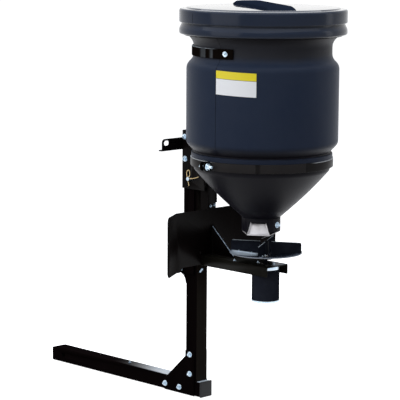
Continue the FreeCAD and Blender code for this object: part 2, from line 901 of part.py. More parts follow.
def outlet_collar():
    """The sleeve on the hopper's spout, with a window in its rear wall."""
    body = piece("outlet_collar")
    sketch = add_sketch(body, "XY_Plane", collar_foot)
    draw_circle(sketch, (0.0, 0.0), dim("spout_radius"))
    draw_circle(sketch, (0.0, 0.0), dim("spout_radius") - dim("outlet_wall"))
    pad(body, sketch, dim("collar_height") - dim("ring_gap") * 2)
    window = add_sketch(body, "XZ_Plane", dim("spout_radius") / 2)
    low = collar_foot - dim("gate_drop")
    foot_half = dim("window_width_foot") / 2
    head_half = dim("window_width_head") / 2
    draw_outline(window, [(-foot_half, low), (foot_half, low),
                          (head_half, window_head), (-head_half, window_head)])
    pocket(body, window, dim("spout_radius"), reverse=True)
    place(body, x=hopper_x, turn=dim("window_turn_angle"))


def gate_plate():
    """The bright plate in the outlet's window, which meters the flow."""
    body = piece("gate_plate")
    foot_half = dim("window_width_foot") / 2 - dim("gate_gap")
    head_half = dim("window_width_head") / 2 - dim("gate_gap")
    low = collar_foot - dim("gate_drop")
    high = window_head - dim("gate_gap")
    sketch = add_sketch(body, "XZ_Plane", dim("gate_offset"))
    draw_outline(sketch, [(-foot_half, low), (foot_half, low),
                          (head_half, high), (-head_half, high)])
    pad(body, sketch, dim("gate_plate"))
    place(body, x=hopper_x, turn=dim("window_turn_angle"))


def spinner_disc():
    """The dished disc that throws the material: flat at the hub, rising to its rim."""
    body = piece("spinner_disc")
    flat = dim("disc_flat")
    rim = dim("disc_radius")
    crest = disc_top + dim("disc_dish")
    plate = dim("disc_plate")
    sketch = add_sketch(body, "XZ_Plane")
    draw_outline(sketch, [
        (dim("shaft_radius"), disc_top - plate), (flat, disc_top - plate),
        (rim, crest - plate), (rim, crest), (flat, disc_top), (dim("shaft_radius"), disc_top)])
    revolve(body, sketch)
    place(body, x=spinner_x)


def spinner_vane(label, turn):
    """An upright blade that follows the disc's dish, with a rounded outer corner."""
    body = piece(label)
    plate = dim("vane_plate")
    blade = add_sketch(body, "XZ_Plane", -plate / 2)
    base = disc_top + dim("vane_lift")
    slope = dim("disc_dish") / (dim("disc_radius") - dim("disc_flat"))
    tip = base + (dim("vane_end") - dim("disc_flat")) * slope
    top = disc_top + dim("vane_height")
    draw_outline(blade, [
        (dim("vane_start"), base), (dim("disc_flat"), base), (dim("vane_end"), tip),
        (dim("vane_end"), top), (dim("vane_start"), top)])
    pad(body, blade, plate)
    round_edges(body, dim("vane_height") / 6, lambda edge: runs_along(edge, 1)
                and is_near(edge.CenterOfMass.z, top.value)
                and is_near(edge.CenterOfMass.x, dim("vane_end").value))
    place(body, x=spinner_x, turn=turn)


def spinner_hub():
    """The collar that clamps the disc to the shaft."""
    body = piece("spinner_hub")
    sketch = add_sketch(body, "XY_Plane", disc_top)
    draw_circle(sketch, (0.0, 0.0), dim("hub_radius"))
    draw_circle(sketch, (0.0, 0.0), dim("shaft_radius"))
    pad(body, sketch, hub_head - disc_top)
    place(body, x=spinner_x)


def drive_shaft():
    """The shaft from the motor through the disc to the hub's head."""
    body = piece("drive_shaft")
    foot = arm_head - dim("arm_plate") - dim("motor_ring") + dim("mast_gap")
    sketch = add_sketch(body, "XY_Plane", foot)
    draw_circle(sketch, (0.0, 0.0), dim("shaft_radius"))
    pad(body, sketch, hub_head + dim("shaft_rise") - foot)
    place(body, x=spinner_x)


# ------------------------------------------------------------------ shield, arm, motor

def shield():
    """The bent guard between mast and spinner, its wings turned rearward."""
    body = piece("shield")
    plate = dim("shield_plate")
    half = dim("shield_half")
    wing = dim("shield_wing")
    bend = dim("shield_bend_angle")
    across = wing * bend.cosine()
    along = wing * bend.sine()
    lean = plate * bend.sine()
    lift = plate * bend.cosine()
    inset = plate * 0.268
    sketch = add_sketch(body, "XY_Plane", shield_foot)
    draw_outline(sketch, [
        (upright_back, -half), (upright_back, half),
        (upright_back + along, half + across),
        (upright_back + along + lift, half + across - lean),
        (upright_back + plate, half - inset),
        (upright_back + plate, inset - half),
        (upright_back + along + lift, lean - half - across),
        (upright_back + along, -half - across),
    ])
    pad(body, sketch, dim("shield_height"))
    notch = add_sketch(body, "YZ_Plane", upright_back - 1.0)
    foot = shield_foot
    rise = dim("shield_notch")
    draw_outline(notch, [(-half + rise, foot - 1.0), (half - rise, foot - 1.0),
                         (half - rise * 2, foot + rise), (rise * 2 - half, foot + rise)])
    pocket(body, notch, plate + 2.0, reverse=True)
    round_edges(body, dim("shield_corner"), lambda edge: abs(edge.CenterOfMass.y)
                > (half + across - lean).value - 0.01
                and edge.Length < plate.value + 0.01)
    place(body, x=post_x)


def spinner_arm():
    """The inverted channel that carries the motor out under the hopper."""
    body = piece("spinner_arm")
    half = dim("arm_half")
    plate = dim("arm_plate")
    head = arm_head
    foot = arm_foot
    length = spinner_reach + dim("arm_reach") - shield_back
    sketch = add_sketch(body, "YZ_Plane", shield_back)
    draw_outline(sketch, [(-half, foot), (plate - half, foot), (plate - half, head - plate),
                          (half - plate, head - plate), (half - plate, foot), (half, foot),
                          (half, head), (-half, head)])
    pad(body, sketch, length)
    round_edges(body, plate, lambda edge: runs_along(edge, 0)
                and is_near(edge.CenterOfMass.z, head.value))
    bore = add_sketch(body, "XY_Plane", head)
    draw_circle(bore, (spinner_reach, 0.0), dim("motor_bore"))
    pocket(body, bore, plate * 2)
    place(body, x=post_x)


def arm_web():
    """The corner plate between the shield and the arm."""
    body = piece("arm_web")
    leg = dim("web_leg")
    sketch = add_sketch(body, "XZ_Plane", -dim("web_plate") / 2)
    base = arm_head
    land = dim("web_land")
    draw_outline(sketch, [(shield_back, base), (shield_back + leg, base),
                          (shield_back + leg, base + land), (shield_back + land, base + leg),
                          (shield_back, base + leg)])
    pad(body, sketch, dim("web_plate"))
    place(body, x=post_x)


def motor_can():
    """The motor's plain can, hung under the arm."""
    body = piece("motor_can")
    head = arm_head - dim("arm_plate")
    sketch = add_sketch(body, "XY_Plane", motor_foot + dim("motor_ring"))
    draw_circle(sketch, (0.0, 0.0), dim("motor_radius") - dim("motor_inset"))
    pad(body, sketch, head - dim("motor_ring") * 2 - motor_foot)
    place(body, x=spinner_x)


def motor_cover(label, foot, bore):
    """One of the motor's pressed end rings, bored where the shaft comes out."""
    body = piece(label)
    radius = dim("motor_radius")
    head = foot + dim("motor_ring")
    sketch = add_sketch(body, "XZ_Plane")
    draw_outline(sketch, [(bore, foot), (radius, foot), (radius, head), (bore, head)])
    revolve(body, sketch)
    place(body, x=spinner_x)


def build():
    """Make every sub-part, check it and write it."""
    shank_tube()
    shank_cap()
    post()
    gusset("gusset_near", -1)
    gusset("gusset_far", 1)
    mast_saddle()
    mast_flare()
    hopper_bracket()
    bracket_packer("packer_near", -1)
    bracket_packer("packer_far", 1)
    upright()
    lock_pin()
    tie_bar()
    hopper()
    lid()
    lid_grip()
    clamp_ring()
    clamp_ear("clamp_ear_front", -1)
    clamp_ear("clamp_ear_rear", 1)
    clamp_bolt()
    neck_strap()
    neck_stay()
    strap_spacer()
    outlet_collar()
    gate_plate()
    spinner_disc()
    for number in range(4):
        spinner_vane(f"spinner_vane_{number + 1}", dim("vane_angle") + 90.0 * number)
    spinner_hub()
    drive_shaft()
    shield()
    spinner_arm()
    arm_web()
    motor_can()
    motor_cover("motor_top_ring", arm_head - dim("arm_plate") - dim("motor_ring"),
                dim("shaft_radius") + dim("bearing_gap"))
    motor_cover("motor_base_ring", motor_foot, dim("shaft_radius"))
    doc.recompute()
    for thing in doc.Objects:
        if "Invalid" in thing.State or "Error" in thing.State:
            raise RuntimeError(f"{thing.Label} failed: {thing.State}")
    os.makedirs("parts", exist_ok=True)
    for part in PARTS:
        shape = part.Shape
        if shape.isNull() or not shape.isValid() or not shape.Solids:
            raise RuntimeError(f"{part.Label} has no valid solid")
        shape.exportStep(f"parts/{part.Label}.step")
        print(part.Label, len(shape.Solids), round(shape.Volume))


build()
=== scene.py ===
"""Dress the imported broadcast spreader: finishes, fasteners, clip, plate, light and camera."""

import logging
import math
from dataclasses import dataclass, field
from enum import Enum
from typing import Any, Sequence

import bmesh
import bpy
from mathutils import Matrix, Vector


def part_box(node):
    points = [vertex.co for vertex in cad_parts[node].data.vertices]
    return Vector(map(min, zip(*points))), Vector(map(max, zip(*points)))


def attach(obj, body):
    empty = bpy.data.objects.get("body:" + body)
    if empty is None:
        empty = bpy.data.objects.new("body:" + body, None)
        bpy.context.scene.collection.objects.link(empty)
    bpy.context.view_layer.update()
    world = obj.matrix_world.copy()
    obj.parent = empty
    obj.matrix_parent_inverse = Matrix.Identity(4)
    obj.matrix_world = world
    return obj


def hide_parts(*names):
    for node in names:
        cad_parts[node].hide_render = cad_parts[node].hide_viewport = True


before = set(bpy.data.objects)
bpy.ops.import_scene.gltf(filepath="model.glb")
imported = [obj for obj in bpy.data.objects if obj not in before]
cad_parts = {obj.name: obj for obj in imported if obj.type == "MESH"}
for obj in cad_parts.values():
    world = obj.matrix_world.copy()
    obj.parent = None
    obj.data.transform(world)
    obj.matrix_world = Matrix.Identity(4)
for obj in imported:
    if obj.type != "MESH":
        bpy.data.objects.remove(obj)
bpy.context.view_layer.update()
LOG = logging.getLogger("spreader")

Point = tuple[float, float]
Triple = tuple[float, float, float]
Material = bpy.types.Material
Thing = bpy.types.Object
Palette = dict[str, Material]

HOPPER_AXIS: Point = (0.949, 0.0)
SPINNER_AXIS: Point = (0.972, 0.0)


class Body(Enum):
    """The moving groups of the machine."""

    FRAME = "frame"
    SPINNER = "spinner"
    LID = "lid"


class Slot(Enum):
    """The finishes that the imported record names."""

    FRAME_BLACK = "frame_black"
    TUB = "tub_plastic"
    CAP = "cap_plastic"
    ZINC = "zinc"
    STEEL = "plate_steel"
    MOTOR = "motor_paint"


# ---------------------------------------------------------------- node trees

def operator(operation: str, swapped: bool = False) -> Any:
    """Make one of Python's operators add a Math node.

    Args:
        operation: The node's operation.
        swapped: Whether the other value comes first.

    Returns:
        The method, for Sock.
    """
    def method(sock: "Sock", other: Any) -> "Sock":
        """Join two values by one Math node."""
        values = (other, sock) if swapped else (sock, other)
        return sock.graph.node("ShaderNodeMath", {"operation": operation},
                               dict(enumerate(values)))
    return method


class Sock:
    """One value in a node tree, on which Python's operators add Math nodes."""

    __add__, __radd__ = operator("ADD"), operator("ADD", True)
    __sub__, __rsub__ = operator("SUBTRACT"), operator("SUBTRACT", True)
    __mul__, __rmul__ = operator("MULTIPLY"), operator("MULTIPLY", True)

    def __init__(self, graph: "Graph", socket: bpy.types.NodeSocket) -> None:
        """Keep the tree's builder and the socket that carries the value."""
        self.graph, self.socket = graph, socket

    def above(self, low: float, high: float) -> "Sock":
        """Ramp softly from 0 at low to 1 at high."""
        return self.graph.node(
            "ShaderNodeMapRange", {"interpolation_type": "SMOOTHSTEP"},
            {"Value": self, "From Min": low, "From Max": high})

    def between(self, rise: Point, fall: Point) -> "Sock":
        """A mask that ramps up over one range and down over a later one."""
        return self.above(*rise) * (1.0 - self.above(*fall))

    def size(self) -> "Sock":
        """The value without its sign."""
        return self.graph.node("ShaderNodeMath", {"operation": "ABSOLUTE"}, {0: self})


class Graph:
    """A node tree under construction."""

    def __init__(self, tree: bpy.types.NodeTree) -> None:
        """Empty the tree and keep it."""
        self.tree = tree
        tree.nodes.clear()

    def node(self, kind: str, settings: dict[str, Any] | None = None,
             values: dict[Any, Any] | None = None, out: Any = 0) -> Sock:
        """Make one node.

        Args:
            kind: The node's type.
            settings: Its own options, set before its sockets.
            values: Numbers, colours or links for its sockets, by name or place.
            out: The output that is handed back.

        Returns:
            The chosen output.
        """
        made = self.tree.nodes.new(kind)
        for word, setting in (settings or {}).items():
            setattr(made, word, setting)
        for key, value in (values or {}).items():
            if isinstance(value, Sock):
                self.tree.links.new(value.socket, made.inputs[key])
            else:
                made.inputs[key].default_value = value
        return Sock(self, made.outputs[out])

    def close(self, kind: str, result: Sock) -> None:
        """End the tree in an output node of that kind."""
        self.tree.links.new(result.socket, self.tree.nodes.new(kind).inputs[0])

    def seen(self) -> Sock:
        """1 for a ray that shows the surface, directly, mirrored or through glass, else 0."""
        camera, glossy, through = (self.node("ShaderNodeLightPath", out=f"Is {ray} Ray")
                                   for ray in ("Camera", "Glossy", "Transmission"))
        return (camera + glossy + through).above(0.0, 1.0)


class Shader(Graph):
    """A material under construction, laid out over its object's own coordinates."""

    def __init__(self, name: str) -> None:
        """Start an empty node material.

        Args:
            name: The material's name.
        """
        self.material = bpy.data.materials.new(name)
        self.material.use_nodes = True
        super().__init__(self.material.node_tree)
        self.place = self.node("ShaderNodeTexCoord", out="Object")
        self.x, self.y, self.z = (
            self.node("ShaderNodeSeparateXYZ", values={0: self.place}, out=axis)
            for axis in "XYZ")

    def noise(self, scale: float, detail: float, rough: float,
              stretch: Triple = (1.0, 1.0, 1.0)) -> Sock:
        """A noise over the object's own coordinates.

        Args:
            scale: Grains per metre.
            detail: Octaves.
            rough: Weight of the fine octaves.
            stretch: Scale along each axis.

        Returns:
            The noise, from 0 to 1.
        """
        where = self.node("ShaderNodeMapping", values={"Vector": self.place, "Scale": stretch})
        return self.node("ShaderNodeTexNoise", values={
            "Vector": where, "Scale": scale, "Detail": detail, "Roughness": rough})

    def mix(self, factor: Any, first: Any, second: Any) -> Sock:
        """Blend two colours, each a triple or a socket.

        Args:
            factor: How much of the second.
            first: The colour at 0.
            second: The colour at 1.

        Returns:
            The blended colour.
        """
        first, second = (colour if isinstance(colour, Sock) else (*colour, 1.0)
                         for colour in (first, second))
        return self.node("ShaderNodeMix", {"data_type": "RGBA"},
                         {0: factor, 6: first, 7: second}, out=2)

    def bump(self, height: Sock, strength: float, distance: float) -> Sock:
        """A normal tilted by a height of 0 to 1, which stands for that distance in metres."""
        return self.node("ShaderNodeBump", values={
            "Height": height, "Strength": strength, "Distance": distance}, out="Normal")


# ---------------------------------------------------------------- finishes

@dataclass(frozen=True)
class Finish:
    """A finish, which each kind describes by the sockets of one Principled shader."""

    name: str

    def sockets(self, g: Shader) -> dict[str, Any]:
        """Work out the shader's sockets.

        Args:
            g: The material under construction.

        Returns:
            The sockets, by name.
        """
        raise NotImplementedError

    def build(self) -> Material:
        """Make the material."""
        g = Shader(self.name)
        g.close("ShaderNodeOutputMaterial",
                g.node("ShaderNodeBsdfPrincipled", values=self.sockets(g)))
        return g.material


@dataclass(frozen=True)
class PowderCoat(Finish):
    """Satin black powder coat on steel, with orange peel and dust, and painted light.

    The optional fields give the height of a painted highlight along the upper lip, the X
    beyond which one face is painted paler as painted light, a height with the range of
    X + Y over which the top above it gets a painted sheen under a real clear coat, and the
    X + Y spans from the hopper's axis of brighter upright strips of painted reflection.
    """

    name: str = "black_powder_coat"
    base: Triple = (0.0020, 0.0013, 0.0013)
    worn: Triple = (0.0060, 0.0042, 0.0040)
    roughness: float = 0.28
    gloss: float = 0.03
    bright_lip_from: float | None = None
    lip_colour: Triple = (0.10, 0.105, 0.115)
    lit_face_colour: Triple = (0.0230, 0.0200, 0.0170)
    sheen_colour: Triple = (0.42, 0.47, 0.53)
    lit_face_from: float | None = None
    painted_sheen_and_coat: Triple | None = None
    painted_streaks: tuple[Point, ...] = ()
    reflection_tone: Triple = (0.085, 0.095, 0.105)

    def sockets(self, g: Shader) -> dict[str, Any]:
        """Work out the shader's sockets.

        Args:
            g: The material under construction.

        Returns:
            The sockets, by name.
        """
        cloud = g.noise(7.0, 4.0, 0.6)
        grain = g.noise(420.0, 2.0, 0.55)
        smear = g.noise(38.0, 5.0, 0.7, (1.0, 1.0, 0.25))
        across = g.x + g.y - HOPPER_AXIS[0]
        dust = smear.above(0.52, 0.74) * 0.35 + cloud.above(0.45, 0.75) * 0.25
        colour = g.mix(dust, self.base, self.worn)
        # Painted highlight: a bright line along the upper lip, only towards the two ends seen from
        # the sides.
        if self.bright_lip_from is not None:
            foot = self.bright_lip_from
            lip = g.z.between((foot, foot + 0.0006), (foot + 0.003, foot + 0.004))
            colour = g.mix(lip * across.size().above(0.205, 0.255) * 0.9, colour, self.lip_colour)
        # Painted reflection: brighter upright strips.
        for start, end in self.painted_streaks:
            reflection_strip = across.between((start - 0.012, start), (end, end + 0.004))
            colour = g.mix(reflection_strip * (0.4 + cloud), colour, self.reflection_tone)
        # Painted light: the face beyond this X is painted a paler brown.
        if self.lit_face_from is not None:
            side = g.x.above(self.lit_face_from, self.lit_face_from + 0.0004)
            colour = g.mix(side, colour, self.lit_face_colour)
        values = {
            "Roughness": self.roughness + cloud * 0.10 + smear * 0.08,
            "Specular IOR Level": self.gloss,
            "Normal": g.bump(grain, 0.16, 0.0006),
        }
        # Painted sheen: the top is painted paler towards one end, with a real clear coat that
        # grows with it.
        if self.painted_sheen_and_coat is not None:
            level, first, last = self.painted_sheen_and_coat
            share = (g.x + g.y).above(first, last)
            sheen_mask = share * share * g.z.above(level, level + 0.0003)
            colour = g.mix(sheen_mask * sheen_mask, colour, self.sheen_colour)
            values |= {"Coat Weight": sheen_mask, "Coat Roughness": 0.12}
        return values | {"Base Color": colour}


@dataclass(frozen=True)
class TubPlastic(Finish):
    """Rotation-moulded slate plastic with a fine pebbled skin and cloudy colour.

    The cone, the groove over the bead and the place under the brim carry a dark brown painted
    shade, the neck is greyer, and the top above glazed_from is shiny.
    """

    name: str = "slate_tub_plastic"
    base: Triple = (0.0145, 0.0230, 0.0455)
    pale: Triple = (0.0225, 0.0310, 0.0535)
    painted_shade: Triple = (0.0052, 0.0038, 0.0043)
    neck_grey: Triple = (0.0310, 0.0312, 0.0345)
    roughness: float = 0.36
    gloss: float = 0.055
    pebbles: float = 0.22
    glazed_from: float | None = None

    def sockets(self, g: Shader) -> dict[str, Any]:
        """Work out the shader's sockets.

        Args:
            g: The material under construction.

        Returns:
            The sockets, by name.
        """
        cloud = g.noise(5.0, 5.0, 0.62)
        drift = g.noise(26.0, 4.0, 0.6, (1.0, 1.0, 0.35))
        pebble = g.noise(620.0, 2.0, 0.6)
        ripple = g.noise(18.0, 1.0, 0.4)
        scuff = g.noise(90.0, 6.0, 0.75, (1.0, 1.0, 4.0)).above(0.62, 0.80)
        shade = cloud.above(0.30, 0.72) * 0.55 + drift * 0.30 + scuff * 0.25
        height = g.z + cloud * 0.02
        below_brim = 1.0 - g.z.above(1.2085, 1.2090)
        bead = g.z.between((0.8163, 0.8168), (0.8300, 0.8330))
        # Painted shade: dark brown on the cone and the groove over the bead, less on the bead
        # itself, and under the brim.
        low = (1.0 - height.above(0.850, 0.885)) * (1.0 - bead * 0.7)
        low = low + height.above(1.192, 1.215) * below_brim * 0.6
        # The neck is greyer from the shoulder up to the brim.
        high = height.above(1.138, 1.165) * below_brim
        slate = g.mix(high * 0.8, g.mix(shade, self.base, self.pale), self.neck_grey)
        values = {
            "Base Color": g.mix(low * 0.88 - scuff * 0.15, slate, self.painted_shade),
            "Roughness": self.roughness + pebble * 0.10 + scuff * 0.12,
            "Specular IOR Level": self.gloss,
            "Normal": g.bump(pebble * 0.6 + ripple * 0.9, self.pebbles, 0.0012),
        }
        if self.glazed_from is not None:
            glaze = g.z.above(self.glazed_from, self.glazed_from + 0.001)
            values |= {"Coat Weight": glaze, "Coat Roughness": 0.05}
        return values


@dataclass(frozen=True)
class CapPlastic(Finish):
    """The grey-black plug plastic, cloudy and finely pebbled."""

    name: str = "plug_plastic"
    base: Triple = (0.0030, 0.0030, 0.0042)
    pale: Triple = (0.0075, 0.0073, 0.0095)

    def sockets(self, g: Shader) -> dict[str, Any]:
        """Work out the shader's sockets.

        Args:
            g: The material under construction.

        Returns:
            The sockets, by name.
        """
        pebble = g.noise(500.0, 3.0, 0.6)
        cloud = g.noise(30.0, 4.0, 0.6)
        return {
            "Base Color": g.mix(cloud.above(0.35, 0.75), self.base, self.pale),
            "Roughness": 0.46 + pebble * 0.14,
            "Specular IOR Level": 0.25,
            "Normal": g.bump(pebble, 0.25, 0.0008),
        }


@dataclass(frozen=True)
class ZincPlate(Finish):
    """Bright zinc with a faint bluish or yellow passivation."""

    name: str = "blue_zinc"
    base: Triple = (0.62, 0.72, 0.80)
    tint: Triple = (0.34, 0.46, 0.58)
    roughness: float = 0.24

    def sockets(self, g: Shader) -> dict[str, Any]:
        """Work out the shader's sockets.

        Args:
            g: The material under construction.

        Returns:
            The sockets, by name.
        """
        spangle = g.node("ShaderNodeTexVoronoi", values={"Vector": g.place, "Scale": 420.0})
        cloud = g.noise(160.0, 3.0, 0.6)
        return {
            "Base Color": g.mix(cloud.above(0.35, 0.70), self.base, self.tint),
            "Metallic": 0.92,
            "Roughness": self.roughness + spangle * 0.12,
            "Normal": g.bump(cloud, 0.12, 0.0005),
        }


@dataclass(frozen=True)
class RolledSteel(Finish):
    """Bare stainless sheet, finely brushed upright."""

    name: str = "brushed_sheet"
    base: Triple = (0.66, 0.65, 0.67)
    dull: Triple = (0.50, 0.49, 0.51)

    def sockets(self, g: Shader) -> dict[str, Any]:
        """Work out the shader's sockets.

        Args:
            g: The material under construction.

        Returns:
            The sockets, by name.
        """
        brush = g.noise(230.0, 3.0, 0.6, (1.0, 1.0, 14.0))
        cloud = g.noise(45.0, 4.0, 0.6)
        return {
            "Base Color": g.mix(cloud.above(0.40, 0.70) * 0.6 + brush * 0.3, self.base, self.dull),
            "Metallic": 0.55,
            "Roughness": 0.34 + brush * 0.16,
            "Normal": g.bump(brush, 0.14, 0.0004),
        }


@dataclass(frozen=True)
class Enamel(Finish):
    """Smooth dark blue-grey enamel, slightly dusty, with a bright band above a given height: bare
    metal on the motor can, a painted highlight on the vanes' top edges.
    """

    base: Triple
    dusty: Triple
    gloss: float
    roughness: float = 0.24
    bright_lip_from: float | None = None
    metal: bool = False
    lip_colour: Triple = (0.42, 0.48, 0.52)

    def sockets(self, g: Shader) -> dict[str, Any]:
        """Work out the shader's sockets.

        Args:
            g: The material under construction.

        Returns:
            The sockets, by name.
        """
        cloud = g.noise(24.0, 4.0, 0.6)
        grain = g.noise(540.0, 2.0, 0.5)
        colour = g.mix(cloud.above(0.42, 0.75), self.base, self.dusty)
        values = {
            "Roughness": self.roughness + cloud * 0.12,
            "Specular IOR Level": self.gloss,
            "Normal": g.bump(grain, 0.12, 0.0005),
        }
        # Above this height: bare metal where the band is metallic, else a painted highlight.
        if self.bright_lip_from is not None:
            lip = g.z.above(self.bright_lip_from, self.bright_lip_from + 0.0006)
            colour = g.mix(lip, colour, self.lip_colour)
            if self.metal:
                values["Metallic"] = lip
        return values | {"Base Color": colour}


@dataclass(frozen=True)
class DiscEnamel(Finish):
    """Dark enamel on the disc, with a painted reflection that makes its rim paler and a painted
    highlight on one bright patch.
    """

    name: str = "disc_enamel"
    base: Triple = (0.0100, 0.0140, 0.0230)
    # Colours of the painted reflection at the rim and of the painted highlight.
    rim: Triple = (0.1200, 0.1500, 0.2000)
    bright: Triple = (0.62, 0.72, 0.82)
    highlight_spot: Point = (0.932, -0.058)

    def sockets(self, g: Shader) -> dict[str, Any]:
        """Work out the shader's sockets.

        Args:
            g: The material under construction.

        Returns:
            The sockets, by name.
        """
        cloud = g.noise(24.0, 4.0, 0.6)
        grain = g.noise(540.0, 2.0, 0.5)

        def spread(spot: Point) -> Sock:
            """The square of the distance from a place, in plan."""
            x, y = g.x - spot[0], g.y - spot[1]
            return x * x + y * y

        # Painted reflection: paler towards the rim.
        edge = spread(SPINNER_AXIS).above(0.084 ** 2, 0.114 ** 2)
        # Painted highlight: a bright patch at the front left.
        near = 1.0 - (spread(self.highlight_spot) + cloud * 0.0012).above(0.034 ** 2, 0.066 ** 2)
        colour = g.mix(edge * 0.9, self.base, self.rim)
        return {
            "Base Color": g.mix(near * 0.95, colour, self.bright),
            "Roughness": 0.12 + cloud * 0.12,
            "Specular IOR Level": 0.9,
            "Normal": g.bump(grain, 0.12, 0.0005),
        }


@dataclass(frozen=True)
class BlankPlate(Finish):
    """A blank film, yellow over white, with a thin dark line between that slopes a little."""

    name: str = "blank_two_tone_film"
    white: Triple = (0.94, 0.97, 1.0)
    yellow: Triple = (0.88, 0.74, 0.015)
    dark: Triple = (0.03, 0.03, 0.03)
    foot: float = 1.030
    head: float = 1.104
    share: float = 0.33
    tilt: float = 0.045
    middle: float = 1.040

    def sockets(self, g: Shader) -> dict[str, Any]:
        """Work out the shader's sockets.

        Args:
            g: The material under construction.

        Returns:
            The sockets, by name.
        """
        height = g.z + (g.x - self.middle) * self.tilt
        line = self.head - (self.head - self.foot) * self.share
        speck = g.noise(300.0, 3.0, 0.6)
        sheet = g.mix(height.above(line - 0.0003, line + 0.0003), self.white, self.yellow)
        edge = 1.0 - (height - line).size().above(0.0006, 0.0010)
        return {
            "Base Color": g.mix(edge * 0.85 + speck.above(0.66, 0.80) * 0.10, sheet, self.dark),
            "Roughness": 0.36 + speck * 0.12,
            "Normal": g.bump(speck, 0.05, 0.0003),
        }


DEEP_BLACK = ((0.0040, 0.0026, 0.0028), (0.0062, 0.0043, 0.0045))
FINISHES: dict[str, Finish] = {
    "black": PowderCoat(),
    "front": PowderCoat("front_plate_coat", *DEEP_BLACK, gloss=0.0),
    # Shank: a painted sheen on its top towards the gusset.
    "shank": PowderCoat("shank_coat", *DEEP_BLACK, gloss=0.0, painted_sheen_and_coat=(0.0249, 0.20, 0.52)),
    # Post: the face beyond the given X painted paler, painted light.
    "post": PowderCoat("post_coat", *DEEP_BLACK, gloss=0.0, lit_face_from=0.6808),
    # Shield: a paler base than the other black parts, painted light that lifts the shade under the
    # hopper.
    "shield": PowderCoat("shield_coat", (0.0042, 0.0029, 0.0029), (0.0085, 0.0062, 0.0058),
                         gloss=0.02),
    # Arm: a painted sheen on its top near its end.
    "arm": PowderCoat("arm_coat", (0.0080, 0.0074, 0.0058), (0.0135, 0.0125, 0.0098),
                      painted_sheen_and_coat=(0.4665, 0.985, 1.010)),
    # Ring: a painted highlight along its lip at the ends, and wide strips of painted reflection.
    "band": PowderCoat("band_coat", (0.0105, 0.0096, 0.0098), (0.0190, 0.0180, 0.0182), 0.22,
                       0.03, bright_lip_from=0.8138, lip_colour=(0.40, 0.42, 0.44),
                       painted_streaks=((-0.226, -0.040), (-0.012, 0.185)),
                       reflection_tone=(0.0265, 0.0248, 0.0252)),
    # Strap: a painted highlight along its top lip at the ends, and two narrow strips of painted
    # reflection.
    "strap": PowderCoat("strap_coat", (0.0068, 0.0048, 0.0040), (0.0120, 0.0088, 0.0074), 0.30,
                        0.0, bright_lip_from=1.1700, lip_colour=(0.42, 0.47, 0.52),
                        painted_streaks=((-0.276, -0.263), (-0.235, -0.231))),
    "tub": TubPlastic(),
    "lid": TubPlastic("slate_lid_plastic", (0.0072, 0.0146, 0.0345), (0.0132, 0.0216, 0.0435),
                      roughness=0.10, gloss=0.14, pebbles=0.05, glazed_from=1.2885),
    # Grip: a darker copy of the lid plastic, painted shade for the grip's shaded sides and
    # recesses.
    "grip": TubPlastic("grip_plastic_painted_shade", (0.0075, 0.0115, 0.0225), (0.0110, 0.0155, 0.0275),
                       gloss=0.0),
    "seam": TubPlastic("dark_seam_plastic", (0.0040, 0.0055, 0.0100), (0.0070, 0.0095, 0.0160),
                       roughness=0.5),
    "cap": CapPlastic(),
    "zinc": ZincPlate(),
    "gold": ZincPlate("yellow_zinc", (0.58, 0.46, 0.26), (0.46, 0.32, 0.14)),
    "dark_zinc": ZincPlate("dulled_zinc", (0.30, 0.38, 0.46), (0.12, 0.17, 0.23), 0.30),
    "steel": RolledSteel(),
    "can": Enamel("motor_can_enamel", (0.0205, 0.0240, 0.0350), (0.0275, 0.0315, 0.0440), 0.0,
                  bright_lip_from=0.4512, metal=True, lip_colour=(0.66, 0.75, 0.84)),
    "disc": DiscEnamel(),
    # Vanes: a painted highlight along their top edges.
    "vane": Enamel("vane_enamel", (0.0098, 0.0114, 0.0170), (0.0150, 0.0176, 0.0250), 0.0, 0.45,
                   bright_lip_from=0.5398),
    "hub": Enamel("hub_enamel", (0.0040, 0.0050, 0.0080), (0.0080, 0.0095, 0.0135), 0.04, 0.50),
    "film": BlankPlate(),
}


# ---------------------------------------------------------------- mesh helpers

def link_thing(name: str, data: bpy.types.ID) -> Thing:
    """Make an object and put it in the scene.

    Args:
        name: The object's name.
        data: Its mesh, curve, lamp or camera.

    Returns:
        The new object.
    """
    thing = bpy.data.objects.new(name, data)
    bpy.context.scene.collection.objects.link(thing)
    return thing


def plain_mesh(thing: Thing) -> bpy.types.Mesh:
    """Work out the mesh that an object's curve or modifiers give.

    Args:
        thing: The object.

    Returns:
        The mesh, under the object's name.
    """
    depsgraph = bpy.context.evaluated_depsgraph_get()
    mesh = bpy.data.meshes.new_from_object(thing.evaluated_get(depsgraph))
    mesh.name = thing.name
    return mesh


def apply_modifiers(thing: Thing) -> None:
    """Turn an object's modifiers into plain mesh."""
    thing.data = plain_mesh(thing)
    thing.modifiers.clear()


def add_mesh(name: str, points: Sequence[Sequence[float]], faces: Sequence[Sequence[int]] = (),
             edges: Sequence[Sequence[int]] = (), material: Material | None = None) -> Thing:
    """Make an object whose place is in its mesh.

    Args:
        name: The object's name.
        points: Corners, in metres.
        faces: Loops of corner numbers.
        edges: Pairs of corner numbers, for a mesh of lines.
        material: The finish, where the mesh has one already.

    Returns:
        The new object.
    """
    mesh = bpy.data.meshes.new(name)
    mesh.from_pydata([tuple(p) for p in points], edges, faces)
    if material:
        mesh.materials.append(material)
    mesh.update()
    return link_thing(name, mesh)


